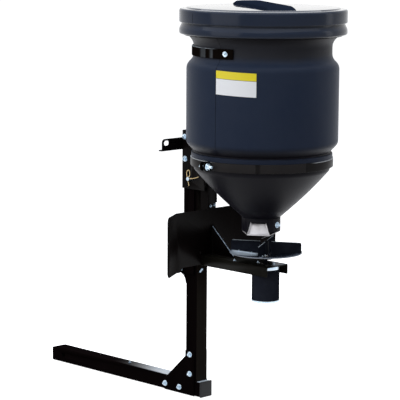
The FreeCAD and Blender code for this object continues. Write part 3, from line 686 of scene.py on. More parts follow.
def tidy_normals(thing: Thing, sharp: float = 35.0) -> Thing:
    """Merge doubles, turn faces outward and mark the sharp edges.

    Args:
        thing: A closed mesh object.
        sharp: The angle in degrees from which an edge stays sharp.

    Returns:
        The same object.
    """
    work = bmesh.new()
    work.from_mesh(thing.data)
    bmesh.ops.remove_doubles(work, verts=work.verts, dist=1e-6)
    bmesh.ops.recalc_face_normals(work, faces=work.faces)
    if work.calc_volume(signed=True) < 0:
        bmesh.ops.reverse_faces(work, faces=work.faces)
    for edge in work.edges:
        edge.smooth = not (edge.is_manifold
                           and edge.calc_face_angle(0.0) > math.radians(sharp))
    for face in work.faces:
        face.smooth = True
    work.to_mesh(thing.data)
    work.free()
    return thing


def settle(thing: Thing, slot: Slot, *nodes: str, body: Body = Body.FRAME) -> None:
    """Let a piece ride on a body and hide the nodes that it stands for.

    Args:
        thing: The piece.
        slot: The finish meant for it; not used.
        *nodes: The nodes that it replaces.
        body: The body that carries it.
    """
    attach(thing, body.value)
    if nodes:
        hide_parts(*nodes)
    LOG.info("%s: %d faces", thing.name, len(thing.data.polygons))


def turned(centre: Point, turn: float, along: float, across: float, height: float) -> Vector:
    """A place measured from an upright axis, in directions turned about it.

    Args:
        centre: The axis, in plan.
        turn: Degrees from the rear, counted towards the far side.
        along: Metres from the axis in the turned direction.
        across: Metres square to it.
        height: The place's height.

    Returns:
        The place.
    """
    cos, sin = math.cos(math.radians(turn)), math.sin(math.radians(turn))
    return Vector((centre[0] + along * cos - across * sin,
                   centre[1] + along * sin + across * cos, height))


def soften(outline: Sequence[Point], radii: Sequence[float], steps: int) -> list[Point]:
    """Round the corners of a closed outline.

    Args:
        outline: The corners.
        radii: One radius for each corner; 0 leaves it sharp.
        steps: Points in each round.

    Returns:
        The rounded outline.
    """
    rounded: list[Point] = []
    for index, (corner, radius) in enumerate(zip(outline, radii)):
        here = Vector(corner)
        before = Vector(outline[index - 1]) - here
        after = Vector(outline[(index + 1) % len(outline)]) - here
        reach = min(radius, before.length * 0.48, after.length * 0.48)
        if reach < 1e-6:
            rounded.append(tuple(here))
            continue
        start = here + before.normalized() * reach
        end = here + after.normalized() * reach
        for step in range(steps + 1):
            t = step / steps
            rounded.append(tuple(start * (1 - t) ** 2 + here * (2 * t * (1 - t)) + end * t ** 2))
    return rounded


def loft(name: str, rows: Sequence[Sequence[Sequence[float]]], material: Material,
         sharp: float = 35.0, whole: bool = False) -> Thing:
    """Skin a row of closed outlines.

    Args:
        name: The object's name.
        rows: The outlines, all of as many points.
        material: The finish.
        sharp: The angle in degrees from which an edge stays sharp.
        whole: Whether the last outline meets the first; if not, both ends are closed.

    Returns:
        The solid.
    """
    count, wide = len(rows), len(rows[0])
    faces = [] if whole else [
        tuple(range(wide)), tuple((count - 1) * wide + j for j in reversed(range(wide)))]
    faces += [(i * wide + j, i * wide + (j + 1) % wide,
               (i + 1) % count * wide + (j + 1) % wide, (i + 1) % count * wide + j)
              for i in range(count if whole else count - 1) for j in range(wide)]
    points = [point for row in rows for point in row]
    return tidy_normals(add_mesh(name, points, faces, material=material), sharp)


def turn_profile(name: str, outline: Sequence[Point], centre: Point, material: Material,
                 segments: int = 192, start: float = 0.0, sweep: float = 360.0,
                 sharp: float = 35.0) -> Thing:
    """Turn a closed outline of radius and height about an upright axis.

    Args:
        name: The object's name.
        outline: Points of radius and height, in metres.
        centre: The axis, in plan.
        material: The finish.
        segments: Steps in a full turn.
        start: The first angle, in degrees.
        sweep: How far it turns, in degrees.
        sharp: The angle from which an edge stays sharp.

    Returns:
        The turned object.
    """
    whole = sweep > 359.9
    steps = round(segments * sweep / 360.0)
    rows = [[turned(centre, start + sweep * row / steps, radius, 0.0, height)
             for radius, height in outline] for row in range(steps if whole else steps + 1)]
    return loft(name, rows, material, sharp, whole)


def round_off(thing: Thing, width: float) -> Thing:
    """Bevel the sharp edges of a mesh object.

    Args:
        thing: The object.
        width: The bevel's width, in metres.

    Returns:
        The same object, with plain mesh.
    """
    bevel = thing.modifiers.new("round_off", "BEVEL")
    bevel.width = width
    bevel.segments = 2
    bevel.limit_method = "ANGLE"
    bevel.angle_limit = math.radians(32)
    bevel.harden_normals = True
    apply_modifiers(thing)
    thing.data.shade_smooth()
    thing.data.set_sharp_from_angle(angle=math.radians(38))
    return thing


def extrude_outline(name: str, outline: Sequence[Sequence[float]], depth: Sequence[float],
                    material: Material, bevel: float) -> Thing:
    """Push a flat outline along a vector, and bevel it.

    Args:
        name: The object's name.
        outline: The corners in space.
        depth: The vector.
        material: The finish.
        bevel: The bevel's width, in metres.

    Returns:
        The solid.
    """
    near = [Vector(p) for p in outline]
    return round_off(loft(name, (near, [p + Vector(depth) for p in near]), material), bevel)


def dress_node(node: str, material: Material, width: float, slot: Slot,
               body: Body = Body.FRAME) -> None:
    """Replace a CAD node by its own form with merged faces and bevelled edges.

    Args:
        node: The node.
        material: The finish.
        width: The bevel's width, in metres.
        slot: The finish that it takes.
        body: The body that carries it.
    """
    name = node + "_dressed"
    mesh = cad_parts[node].data.copy()
    mesh.name = name
    mesh.materials.clear()
    mesh.materials.append(material)
    work = bmesh.new()
    work.from_mesh(mesh)
    bmesh.ops.remove_doubles(work, verts=work.verts, dist=2e-6)
    bmesh.ops.dissolve_limit(work, angle_limit=math.radians(0.8), verts=work.verts,
                             edges=work.edges)
    work.to_mesh(mesh)
    work.free()
    if mesh.attributes.get("custom_normal"):
        mesh.attributes.remove(mesh.attributes["custom_normal"])
    settle(round_off(link_thing(name, mesh), width), slot, node, body=body)


def bend_wire(name: str, route: Sequence[Sequence[float]], radius: float,
              material: Material) -> None:
    """Make one of the frame's round wires, as plain mesh.

    Args:
        name: The piece's name.
        route: The points that guide its line.
        radius: Its radius, in metres.
        material: The finish.
    """
    curve = bpy.data.curves.new(name, "CURVE")
    curve.dimensions = "3D"
    curve.bevel_depth = radius
    curve.bevel_resolution = 4
    curve.resolution_u = 8
    curve.use_fill_caps = True
    spline = curve.splines.new("NURBS")
    spline.points.add(len(route) - 1)
    for point, spot in zip(spline.points, route):
        point.co = (*spot, 1.0)
    spline.order_u = 3
    spline.use_endpoint_u = True
    curve.materials.append(material)
    source = link_thing(name + "_line", curve)
    mesh = plain_mesh(source)
    bpy.data.objects.remove(source)
    mesh.name = name
    mesh.shade_smooth()
    settle(tidy_normals(link_thing(name, mesh), 50.0), Slot.ZINC)


def join_pieces(name: str, things: Sequence[Thing]) -> Thing:
    """Join mesh objects of one finish into one.

    Args:
        name: The new object's name.
        things: The objects, which go.

    Returns:
        The joined object.
    """
    mesh = bpy.data.meshes.new(name)
    mesh.materials.append(things[0].data.materials[0])
    work = bmesh.new()
    for thing in things:
        work.from_mesh(thing.data)
        bpy.data.objects.remove(thing)
    work.to_mesh(mesh)
    work.free()
    return link_thing(name, mesh)


def ridge(name: str, rows: Sequence[Point], azimuth: float, section: Triple,
          material: Material, level: float = math.inf) -> Thing:
    """A thin raised line that runs up a turned shell.

    Args:
        name: The object's name.
        rows: Radius and height of the shell along the line.
        azimuth: The line's place round the shell, in degrees.
        section: Its rise in metres, then half the widths of its crest and foot in degrees.
        material: The finish.
        level: The height from which the shell lies flat, so that the line stands up.

    Returns:
        The line.
    """
    lift, crest, foot = section
    loops = []
    for radius, height in rows:
        loop = []
        for proud, swing in ((-0.001, -foot), (lift, -crest), (lift, crest), (-0.001, foot)):
            out = proud if height < level else 0.0
            up = proud if height >= level - 0.004 else 0.0
            loop.append(turned(HOPPER_AXIS, azimuth + swing, radius + out, 0.0, height + up))
        loops.append(loop)
    return loft(name, loops, material, 60.0)


# ---------------------------------------------------------------- geometry nodes

class NodeGroup(Graph):
    """A Geometry Nodes tree under construction."""

    def __init__(self, name: str, sizes: dict[str, float]) -> None:
        """Open a tree with a mesh in, a mesh out, named sizes and a finish.

        Args:
            name: The tree's name.
            sizes: The default of each size, in metres.
        """
        super().__init__(bpy.data.node_groups.new(name, "GeometryNodeTree"))
        face = self.tree.interface
        face.new_socket("Geometry", in_out="INPUT", socket_type="NodeSocketGeometry")
        face.new_socket("Geometry", in_out="OUTPUT", socket_type="NodeSocketGeometry")
        finish = face.new_socket("Finish", in_out="INPUT", socket_type="NodeSocketMaterial")
        self.identifiers = {"Finish": finish.identifier}
        for word, default in sizes.items():
            socket = face.new_socket(word, in_out="INPUT", socket_type="NodeSocketFloat")
            socket.default_value = default
            self.identifiers[word] = socket.identifier
        self.inlet = self.tree.nodes.new("NodeGroupInput")

    def given(self, word: str) -> Sock:
        """One of the tree's named inputs."""
        return Sock(self, self.inlet.outputs[word])

    def end(self, geometry: Sock) -> "NodeGroup":
        """Realize the copies, give them their finish and end the tree.

        Args:
            geometry: The copies.

        Returns:
            The finished tree.
        """
        real = self.node("GeometryNodeRealizeInstances", values={"Geometry": geometry})
        self.close("NodeGroupOutput", self.node("GeometryNodeSetMaterial", values={
            "Geometry": real, "Material": self.given("Finish")}))
        return self


def bolt_group() -> NodeGroup:
    """A tree that puts a hex head on a washer, with its thread's end, at every point."""
    g = NodeGroup("hex_bolts", {
        "Head Radius": 0.0085, "Head Height": 0.0065, "Washer Radius": 0.012,
        "Washer Height": 0.0018, "Thread Length": 0.004})
    head, rise = g.given("Head Radius"), g.given("Head Height")
    washer, thick = g.given("Washer Radius"), g.given("Washer Height")
    join = g.node("GeometryNodeJoinGeometry")
    for sides, bottom, top, depth, height in (
            (24, washer, washer * 0.92, thick, 0.0),
            (6, head, head, rise * 0.78, thick),
            (6, head, head * 0.80, rise * 0.22, thick + rise * 0.78),
            (16, head * 0.50, head * 0.40, g.given("Thread Length"), thick + rise)):
        cone = g.node("GeometryNodeMeshCone", values={
            "Vertices": sides, "Radius Bottom": bottom, "Radius Top": top, "Depth": depth})
        lift = g.node("ShaderNodeCombineXYZ", values={"Z": height})
        part = g.node("GeometryNodeTransform", values={"Geometry": cone, "Translation": lift})
        g.tree.links.new(part.socket, join.socket.node.inputs[0])
    axis, size = (g.node("GeometryNodeInputNamedAttribute", {"data_type": kind}, {"Name": word})
                  for word, kind in (("axis", "FLOAT_VECTOR"), ("size", "FLOAT")))
    aim = g.node("FunctionNodeAlignRotationToVector", {"axis": "Z"}, {"Vector": axis})
    return g.end(g.node("GeometryNodeInstanceOnPoints", values={
        "Points": g.given("Geometry"), "Instance": join, "Rotation": aim, "Scale": size}))


def bead_group() -> NodeGroup:
    """A tree that lays overlapping ripples of weld metal along every edge."""
    g = NodeGroup("weld_beads", {"Radius": 0.0032, "Pitch": 0.0030})
    line = g.node("GeometryNodeMeshToCurve", values={"Mesh": g.given("Geometry")})
    steps = g.node("GeometryNodeResampleCurve", {"mode": "LENGTH"},
                   {"Curve": line, "Length": g.given("Pitch")})
    ripple = g.node("GeometryNodeMeshIcoSphere", values={
        "Radius": g.given("Radius"), "Subdivisions": 2})
    wobble = g.node("FunctionNodeRandomValue", {"data_type": "FLOAT"},
                    {"Min": 0.82, "Max": 1.12, "Seed": 7}, out=1)
    return g.end(g.node("GeometryNodeInstanceOnPoints", values={
        "Points": steps, "Instance": ripple, "Scale": wobble}))


def grow(thing: Thing, group: NodeGroup, values: dict[str, Any], slot: Slot,
         body: Body = Body.FRAME) -> None:
    """Run a tree on an object and keep its result as plain mesh.

    Args:
        thing: The object that holds the points or lines.
        group: The tree.
        values: Its named inputs.
        slot: The finish that the result takes.
        body: The body that carries the result.
    """
    modifier = thing.modifiers.new(group.tree.name, "NODES")
    modifier.node_group = group.tree
    for word, value in values.items():
        modifier[group.identifiers[word]] = value
    thing.update_tag()
    apply_modifiers(thing)
    settle(thing, slot, body=body)


@dataclass
class Fasteners:
    """The bolts of one finish, grown on points by one tree."""

    group: NodeGroup
    finish: Material
    items: list[tuple[Triple, Vector, float]] = field(default_factory=list)

    def add(self, spot: Sequence[float], axis: Sequence[float], size: float) -> None:
        """Note one more bolt: its place, the way that it points and its scale."""
        self.items.append((tuple(spot), Vector(axis).normalized(), size))

    def build(self, name: str, body: Body = Body.FRAME) -> None:
        """Grow all the bolts and turn them into one plain mesh.

        Args:
            name: The piece's name.
            body: The body that carries them.
        """
        spots, axes, sizes = zip(*self.items)
        thing = add_mesh(name, spots)
        for word, kind, key, values in (("axis", "FLOAT_VECTOR", "vector", axes),
                                        ("size", "FLOAT", "value", sizes)):
            layer = thing.data.attributes.new(word, kind, "POINT")
            for item, value in zip(layer.data, values):
                setattr(item, key, value)
        grow(thing, self.group, {"Finish": self.finish}, Slot.ZINC, body)


# ---------------------------------------------------------------- sub-assemblies

@dataclass
class Assembly:
    """Pieces that are made together, with the finishes and bolts that all share."""

    palette: Palette
    bolts: NodeGroup

    def fasteners(self, finish: str = "zinc") -> Fasteners:
        """An empty set of bolts of that finish."""
        return Fasteners(self.bolts, self.palette[finish])


@dataclass
class SteelFrame(Assembly):
    """Shank, post, gussets, mast, bracket, arm and shield: black steel with rolled edges."""

    edge: float = 0.0011
    coats: tuple[tuple[str, str], ...] = (
        ("shank", "shank_tube"), ("post", "post"),
        ("front", "gusset_near gusset_far mast_saddle"),
        ("black", "mast_flare hopper_bracket packer_near packer_far upright tie_bar "
                  "neck_stay strap_spacer"),
        ("shield", "shield"), ("arm", "spinner_arm"),
        ("black", "arm_web clamp_ear_front clamp_ear_rear"))

    def build(self) -> None:
        """Make the pieces in order."""
        for coat, nodes in self.coats:
            for node in nodes.split():
                low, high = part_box(node)
                width = min(self.edge, min(high - low) * 0.3)
                dress_node(node, self.palette[coat], width, Slot.FRAME_BLACK)
        dress_node("shank_cap", self.palette["cap"], 0.0012, Slot.CAP)
        self.fix()
        self.welds()
        self.hairpin()
        self.rods()

    def fix(self) -> None:
        """The hex bolts of plates, bracket, upright, shield and arm."""
        post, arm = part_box("post"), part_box("spinner_arm")
        middle = (post[0].x + post[1].x) / 2
        bright, dull = self.fasteners(), self.fasteners("dark_zinc")
        near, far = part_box("gusset_near")[0].y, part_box("gusset_far")[1].y
        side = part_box("hopper_bracket")
        for back, height, size, sides in (
                (0.0, 0.116, 0.82, (near, far)), (0.0, 0.049, 0.82, (near, far)),
                (0.050, -0.005, 0.82, (near, far)), (0.119, -0.004, 0.82, (near, far)),
                (0.025, 0.853, 0.85, (side[0].y, side[1].y)),
                (0.022, 0.780, 0.85, (side[0].y, side[1].y))):
            bright.add((middle - back, sides[0], height), (0, -1, 0), size)
            bright.add((middle - back, sides[1], height), (0, 1, 0), size)
        upright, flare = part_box("upright"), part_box("mast_flare")
        for across, height in ((-0.0076, 0.6285), (0.0110, 0.6300)):
            dull.add((upright[1].x, across, height), (1, 0, 0), 0.40)
        painted = self.fasteners("band")
        for across in (-0.0590, 0.0590):
            painted.add((arm[0].x, across, 0.478), (1, 0, 0), 0.42)
        painted.build("painted_bolts")
        for along, across in ((0.869, -0.039), (0.869, 0.039), (0.946, -0.010),
                              (0.998, 0.010)):
            bright.add((along, across, arm[1].z), (0, 0, 1), 0.46)
        for across in (-0.0400, 0.0400):
            dull.add((flare[1].x, across, 0.404), (1, 0, 0), 0.5)
            dull.add((flare[0].x, across, 0.404), (-1, 0, 0), 0.5)
        dull.add((0.326, 0.0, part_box("shank_tube")[1].z), (0, 0, 1), 0.45)
        dull.build("dulled_bolts")
        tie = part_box("tie_bar")
        for across in (-0.020, 0.020):
            bright.add((tie[0].x + 0.028, across, tie[1].z - 0.016), (-1, 0, 0), 0.6)
        bright.build("frame_bolts")

    def welds(self) -> None:
        """Ripple beads where arm, web, stay, spacer, packer, upright and post foot are joined."""
        arm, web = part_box("spinner_arm"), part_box("arm_web")
        stay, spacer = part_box("neck_stay"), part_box("strap_spacer")
        upright, post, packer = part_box("upright"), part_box("post"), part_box("packer_near")
        lines = [((arm[0].x, side, arm[0].z), (arm[0].x, side, arm[1].z))
                 for side in (arm[0].y, arm[1].y)]
        for x, box, z in ((arm[0].x, arm, arm[1].z), (post[0].x, post, post[0].z),
                          (post[1].x, post, post[0].z), (stay[1].x, stay, spacer[0].z),
                          (stay[0].x, stay, stay[0].z)):
            lines.append(((x, box[0].y, z), (x, box[1].y, z)))
        for side in (-web[1].y, web[1].y):
            foot = (web[0].x, side, web[0].z)
            lines += [(foot, (web[1].x, side, web[0].z)), (foot, (web[0].x, side, web[1].z))]
        for x, sides, low, high in (
                (packer[1].x, (packer[0].y, -packer[0].y), packer[0].z + 0.01,
                 packer[1].z - 0.04),
                (upright[1].x, (upright[0].y, upright[1].y), 0.640, 0.700)):
            lines += [((x, side, low), (x, side, high)) for side in sides]
        points = [spot for line in lines for spot in line]
        edges = [(k, k + 1) for k in range(0, len(points), 2)]
        beads = {"Finish": self.palette["black"], "Radius": 0.0026, "Pitch": 0.0026}
        grow(add_mesh("weld_beads", points, edges=edges), bead_group(), beads,
             Slot.FRAME_BLACK)

    def hairpin(self) -> None:
        """The yellow spring clip through the height pin's tail, and the pin's head."""
        low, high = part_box("lock_pin")
        near, x, z = low.y + 0.004, (low.x + high.x) / 2, (low.z + high.z) / 2
        shape = [(0.050, 0.012), (0.024, 0.003), (-0.002, 0.001), (-0.009, 0.010),
                 (-0.007, 0.024), (0.001, 0.031), (0.008, 0.024), (0.006, 0.011),
                 (-0.002, 0.003), (-0.005, -0.006), (0.003, -0.013), (0.001, -0.023)]
        route = [(x + u, near - 0.002 + 0.004 * (k % 2), z + v) for k, (u, v) in enumerate(shape)]
        bend_wire("height_pin_clip", route, 0.0013, self.palette["gold"])
        dress_node("lock_pin", self.palette["zinc"], 0.0010, Slot.ZINC)

    def rods(self) -> None:
        """A bright rod along the arm's corner plate, partly a rod and partly a painted highlight
        on that plate's edge, and the cotter under the shield.
        """
        web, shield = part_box("arm_web"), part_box("shield")
        top = Vector((web[0].x + 0.003, web[0].y - 0.002, web[1].z - 0.004))
        foot = Vector((web[1].x + 0.002, web[0].y - 0.002, web[0].z + 0.006))
        start = Vector((shield[0].x + 0.001, -0.044, shield[0].z + 0.001))
        end = start + Vector((-0.012, 0.0, -0.014))
        # The rod stands in for the bright edge of the corner plate: partly a rod, partly a painted
        # highlight.
        for name, near, far, places, radius in (
                ("brace_rod_edge_highlight", top, foot, (0.0, 0.3, 0.7, 1.0), 0.0016),
                ("shield_cotter", start, end, (0.0, 0.4, 0.8, 1.0), 0.0028)):
            bend_wire(name, [near.lerp(far, place) for place in places], radius,
                      self.palette["dark_zinc"])


@dataclass
class Tub(Assembly):
    """The moulded hopper with its seat bead, shoulder, flared neck and mould lines."""

    wall: float = 0.006
    spout: float = 0.0567
    collar: float = 0.063
    spout_foot: float = 0.609
    cone_foot: float = 0.620
    bulge: float = 0.006
    cone_head: float = 0.776
    band: float = 0.219
    ring_head: float = 0.8163
    bead: float = 0.227
    bead_head: float = 0.831
    body_foot: float = 0.862
    body: float = 0.2445
    body_head: float = 1.112
    neck: float = 0.2215
    neck_foot: float = 1.134
    neck_head: float = 1.183
    flare: float = 0.240
    flare_head: float = 1.205
    brim: float = 0.2525
    brim_head: float = 1.2837
    seam_azimuth: float = -83.5
    plate_start: float = -83.0
    plate_sweep: float = 31.6

    def build(self) -> None:
        """Make the shell, its mould lines and the blank plate."""
        third = (self.band - self.collar) / 3
        outer = [
            (self.spout, self.spout_foot), (self.spout, self.cone_foot),
            (self.collar, self.cone_foot),
            (self.collar + third + self.bulge, self.cone_foot + third),
            (self.band - third + self.bulge, self.cone_head - third),
            (self.band, self.cone_head),
            (self.band, self.ring_head), (self.bead, self.ring_head),
            (self.bead, self.bead_head), (self.band + 0.001, self.bead_head + 0.001),
            (self.band + 0.001, self.bead_head + 0.005), (self.body, self.body_foot),
            (self.body, self.body_head), (self.neck, self.neck_foot),
            (self.neck, self.neck_head), (self.flare, self.flare_head),
            (self.brim, self.flare_head), (self.brim, self.brim_head)]
        inner = [
            (self.brim - self.wall, self.brim_head), (self.brim - self.wall, 1.211),
            (self.neck - self.wall, 1.189), (self.neck - self.wall, self.neck_foot),
            (self.body - self.wall, self.body_head - 0.002),
            (self.body - self.wall, self.body_foot + 0.004),
            (self.band - self.wall, self.bead_head + 0.006),
            (self.band - self.wall, self.cone_head + 0.002), (0.1645, 0.724), (0.1125, 0.672),
            (self.spout - self.wall, 0.6165), (self.spout - self.wall, self.spout_foot)]
        radii = [0.0, 0.001, 0.0, 0.050, 0.050, 0.006, 0.0, 0.001, 0.007, 0.001, 0.003, 0.010,
                 0.014, 0.016, 0.016, 0.004, 0.0, 0.001,
                 0.001, 0.006, 0.012, 0.012, 0.012, 0.010, 0.010, 0.006, 0.050, 0.050,
                 0.003, 0.001]
        shell = turn_profile("hopper_shell", soften(outer + inner, radii, 6), HOPPER_AXIS,
                             self.palette["tub"], sharp=50.0)
        settle(shell, Slot.TUB, "hopper")
        rows = soften(outer[10:16], radii[10:16], 6)
        lines = [ridge("line", rows, self.seam_azimuth + turn, (0.0005, 0.12, 0.28),
                       self.palette["seam"]) for turn in (0.0, 180.0)]
        settle(join_pieces("tub_mould_lines", lines), Slot.TUB)
        self.plate()

    def plate(self) -> None:
        """The blank two-tone film on the tub's near side."""
        film = FINISHES["film"]
        back, front = self.body - 0.0004, self.body + 0.0006
        outline = [(back, film.foot), (front, film.foot), (front, film.head),
                   (back, film.head)]
        piece = turn_profile("blank_plate", outline, HOPPER_AXIS, self.palette["film"], 160,
                             self.plate_start, self.plate_sweep)
        for vertex in piece.data.vertices:
            vertex.co.z -= (vertex.co.x - film.middle) * film.tilt
        settle(piece, Slot.TUB)


@dataclass
class Lid(Assembly):
    """The moulded lid with its rolled rim, groove, top panel and grip bar."""

    rim: float = 0.2685
    wall: float = 0.006
    foot: float = 1.209
    slope_foot: float = 1.226
    groove: float = 0.2605
    groove_head: float = 1.246
    land: float = 1.290
    head: float = 1.294
    curl: float = 0.011
    step: float = 0.2475
    grip_half: float = 0.046
    grip_reach: float = 0.2305
    grip_height: float = 0.013
    grip_slope: float = 0.042
    grip_turn: float = 58.0
    grip_steps: int = 32
    seam_azimuth: float = -102.0

    def build(self) -> None:
        """Make the shell, its mould line and the grip."""
        inner = self.groove - self.wall
        outline = [
            (0.0, self.head), (self.step - 0.003, self.head), (self.step, self.land),
            (self.rim, self.land), (self.rim, self.groove_head),
            (self.groove, self.groove_head), (self.groove, self.groove_head - 0.004),
            (self.rim, self.slope_foot), (self.rim, self.foot), (inner, self.foot),
            (inner, self.groove_head + self.wall),
            (self.rim - self.wall, self.groove_head + 2 * self.wall),
            (self.rim - self.wall, self.land - self.curl),
            (self.rim - self.curl, self.land - self.wall), (0.0, self.land - self.wall)]
        radii = [0.0, 0.0015, 0.0008, 0.0125, 0.006, 0.001, 0.0015, 0.006, 0.008, 0.001,
                 0.004, 0.004, 0.005, 0.005, 0.0]
        shell = turn_profile("lid_shell", soften(outline, radii, 6), HOPPER_AXIS,
                             self.palette["lid"], sharp=50.0)
        settle(shell, Slot.TUB, "lid", body=Body.LID)
        rows = [(self.step + 0.002, self.land), (self.rim - self.curl, self.land),
                (self.rim - self.curl * 0.3, self.land - self.curl * 0.3),
                (self.rim, self.land - self.curl), (self.rim, self.groove_head + 0.004)]
        line = ridge("lid_mould_line", rows, self.seam_azimuth, (0.0004, 0.1, 0.25),
                     self.palette["seam"], self.land)
        settle(line, Slot.TUB, body=Body.LID)
        self.grip()

    def grip(self) -> None:
        """The broad raised bar, rounded along its crest and sloping at both ends."""
        section = ((-1.0, 0.0), (-0.94, 0.62), (-0.82, 0.92), (-0.5, 1.0),
                   (0.5, 1.0), (0.82, 0.92), (0.94, 0.62), (1.0, 0.0))
        rows = []
        for step in range(self.grip_steps + 1):
            along = -self.grip_reach + 2 * self.grip_reach * step / self.grip_steps
            edge = min(1.0, (self.grip_reach - abs(along)) / self.grip_slope)
            rise = self.grip_height * (1.0 - (1.0 - edge) ** 2)
            rows.append([turned(HOPPER_AXIS, self.grip_turn, self.grip_half * across, along,
                                self.head - 0.0002 + rise * share)
                         for across, share in section])
        settle(loft("lid_grip_bar", rows, self.palette["grip"], 40.0), Slot.TUB, "lid_grip",
               body=Body.LID)


@dataclass
class Bands(Assembly):
    """The split clamp ring at the hopper's foot and the strap round its neck."""

    ring: float = 0.2295
    ring_foot: float = 0.788
    ring_head: float = 0.816
    lip: float = 0.2193
    plate: float = 0.005
    split: float = 0.014
    clamp_azimuth: float = -94.0
    strap: float = 0.2275
    strap_foot: float = 1.141
    strap_head: float = 1.172
    strap_half: float = 109.0
    stud_azimuth: float = 78.0

    def build(self) -> None:
        """Make ring, strap and their bolts."""
        gap = math.degrees(self.split / self.ring)
        inside = self.ring - self.plate
        outline = [(inside, self.ring_foot), (self.ring, self.ring_foot),
                   (self.ring, self.ring_head), (self.lip, self.ring_head),
                   (self.lip, self.ring_head - 0.005), (inside, self.ring_head - 0.005)]
        ring = turn_profile("clamp_ring_dressed",
                            soften(outline, [0.001, 0.0016, 0.0016, 0.0005, 0.0005, 0.001], 3),
                            HOPPER_AXIS, self.palette["band"],
                            start=gap / 2 + self.clamp_azimuth, sweep=360.0 - gap)
        settle(ring, Slot.FRAME_BLACK, "clamp_ring")
        inside = self.strap - self.plate
        outline = [(inside, self.strap_foot), (self.strap, self.strap_foot),
                   (self.strap, self.strap_head), (inside, self.strap_head)]
        strap = turn_profile("neck_strap_dressed", soften(outline, [0.0014] * 4, 3),
                             HOPPER_AXIS, self.palette["strap"],
                             start=180.0 - self.strap_half, sweep=2 * self.strap_half)
        settle(strap, Slot.FRAME_BLACK, "neck_strap")
        dress_node("clamp_bolt", self.palette["zinc"], 0.0006, Slot.ZINC)
        studs = self.fasteners()
        low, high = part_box("clamp_bolt")
        studs.add((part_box("clamp_ear_rear")[1].x, (low.y + high.y) / 2, (low.z + high.z) / 2),
                  (1, 0, 0), 1.0)
        for azimuth in (-self.stud_azimuth, self.stud_azimuth):
            spot = turned(HOPPER_AXIS, azimuth, self.strap, 0.0,
                          (self.strap_foot + self.strap_head) / 2)
            studs.add(spot, (spot.x - HOPPER_AXIS[0], spot.y, 0.0), 0.75)
        studs.build("strap_bolts")


@dataclass
class Outlet(Assembly):
    """The sleeve under the cone, its bright gate and the chute's edges."""

    radius: float = 0.063
    foot: float = 0.574
    turn: float = 33.0
    face: float = 0.043
    foot_half: float = 0.0372
    head_half: float = 0.0262
    gate_foot: float = 0.563
    gate_head: float = 0.6067
    rim: float = 0.0032
    stud_azimuths: tuple[float, float] = (8.0, 188.0)
    stud_height: float = 0.5975

    def at(self, across: float, height: float, out: float = 0.0) -> Vector:
        """A place on the window's face.

        Args:
            across: Metres to the right of the window's middle, seen from outside.
            height: The height.
            out: Metres out from the face.

        Returns:
            The place.
        """
        return turned(HOPPER_AXIS, self.turn, across, -self.face - out, height)

    def build(self) -> None:
        """Make sleeve, gate, chute edges and the sleeve's bolts."""
        dress_node("outlet_collar", self.palette["tub"], 0.0010, Slot.TUB)
        self.gate()
        studs = self.fasteners()
        for azimuth in self.stud_azimuths:
            spot = turned(HOPPER_AXIS, azimuth, self.radius, 0.0, self.stud_height)
            studs.add(spot, (spot.x - HOPPER_AXIS[0], spot.y, 0.0), 0.85)
        studs.add(self.at(0.0, self.gate_head + 0.003, -0.003),
                  turned((0.0, 0.0), self.turn, 0.0, -1.0, 0.0), 0.32)
        studs.build("outlet_bolts")

    def gate(self) -> None:
        """The bright plate with its turned rim and two raised corners, and the chute's lips."""
        steel = self.palette["steel"]
        outward = turned((0.0, 0.0), self.turn, 0.0, -1.0, 0.0)
        low, high = self.gate_foot, self.gate_head
        a, b, r = self.foot_half, self.head_half, self.rim
        panel = ((-a, low), (a, low), (b, high - 0.005), (-b, high - 0.005))
        sides = [((s * a, low), (s * (a - r), low), (s * (b - r), high - 0.005),
                  (s * (b - r * 0.7), high), (s * b, high)) for s in (-1, 1)]
        sill = ((-a, low), (a, low), (a - 0.001, low + r), (0.001 - a, low + r))
        bars = [extrude_outline("bar", [self.at(*spot) for spot in outline], outward * depth,
                                steel, bevel)
                for outline, depth, bevel in ((panel, 0.0022, 0.0005), *(
                    (outline, 0.0055, 0.0008) for outline in (*sides, sill)))]
        settle(join_pieces("gate_plate_dressed", bars), Slot.STEEL, "gate_plate")
        corner, other = self.at(a, low + 0.0005, 0.001), self.at(-a, low + 0.0005, 0.001)
        right, left = (turned(HOPPER_AXIS, azimuth, self.radius, 0.0, self.foot - 0.0008)
                       for azimuth in (33.0, -118.0))
        middle = turned(HOPPER_AXIS, -38.0, 0.013, 0.0, 0.5485)
        sheets = [extrude_outline("lip", outline, (0, 0, 0.0016), steel, 0.0003)
                  for outline in ((corner, right, middle),
                                  (other, left, left + Vector((0.004, 0.004, 0))))]
        settle(join_pieces("chute_lips", sheets), Slot.STEEL)


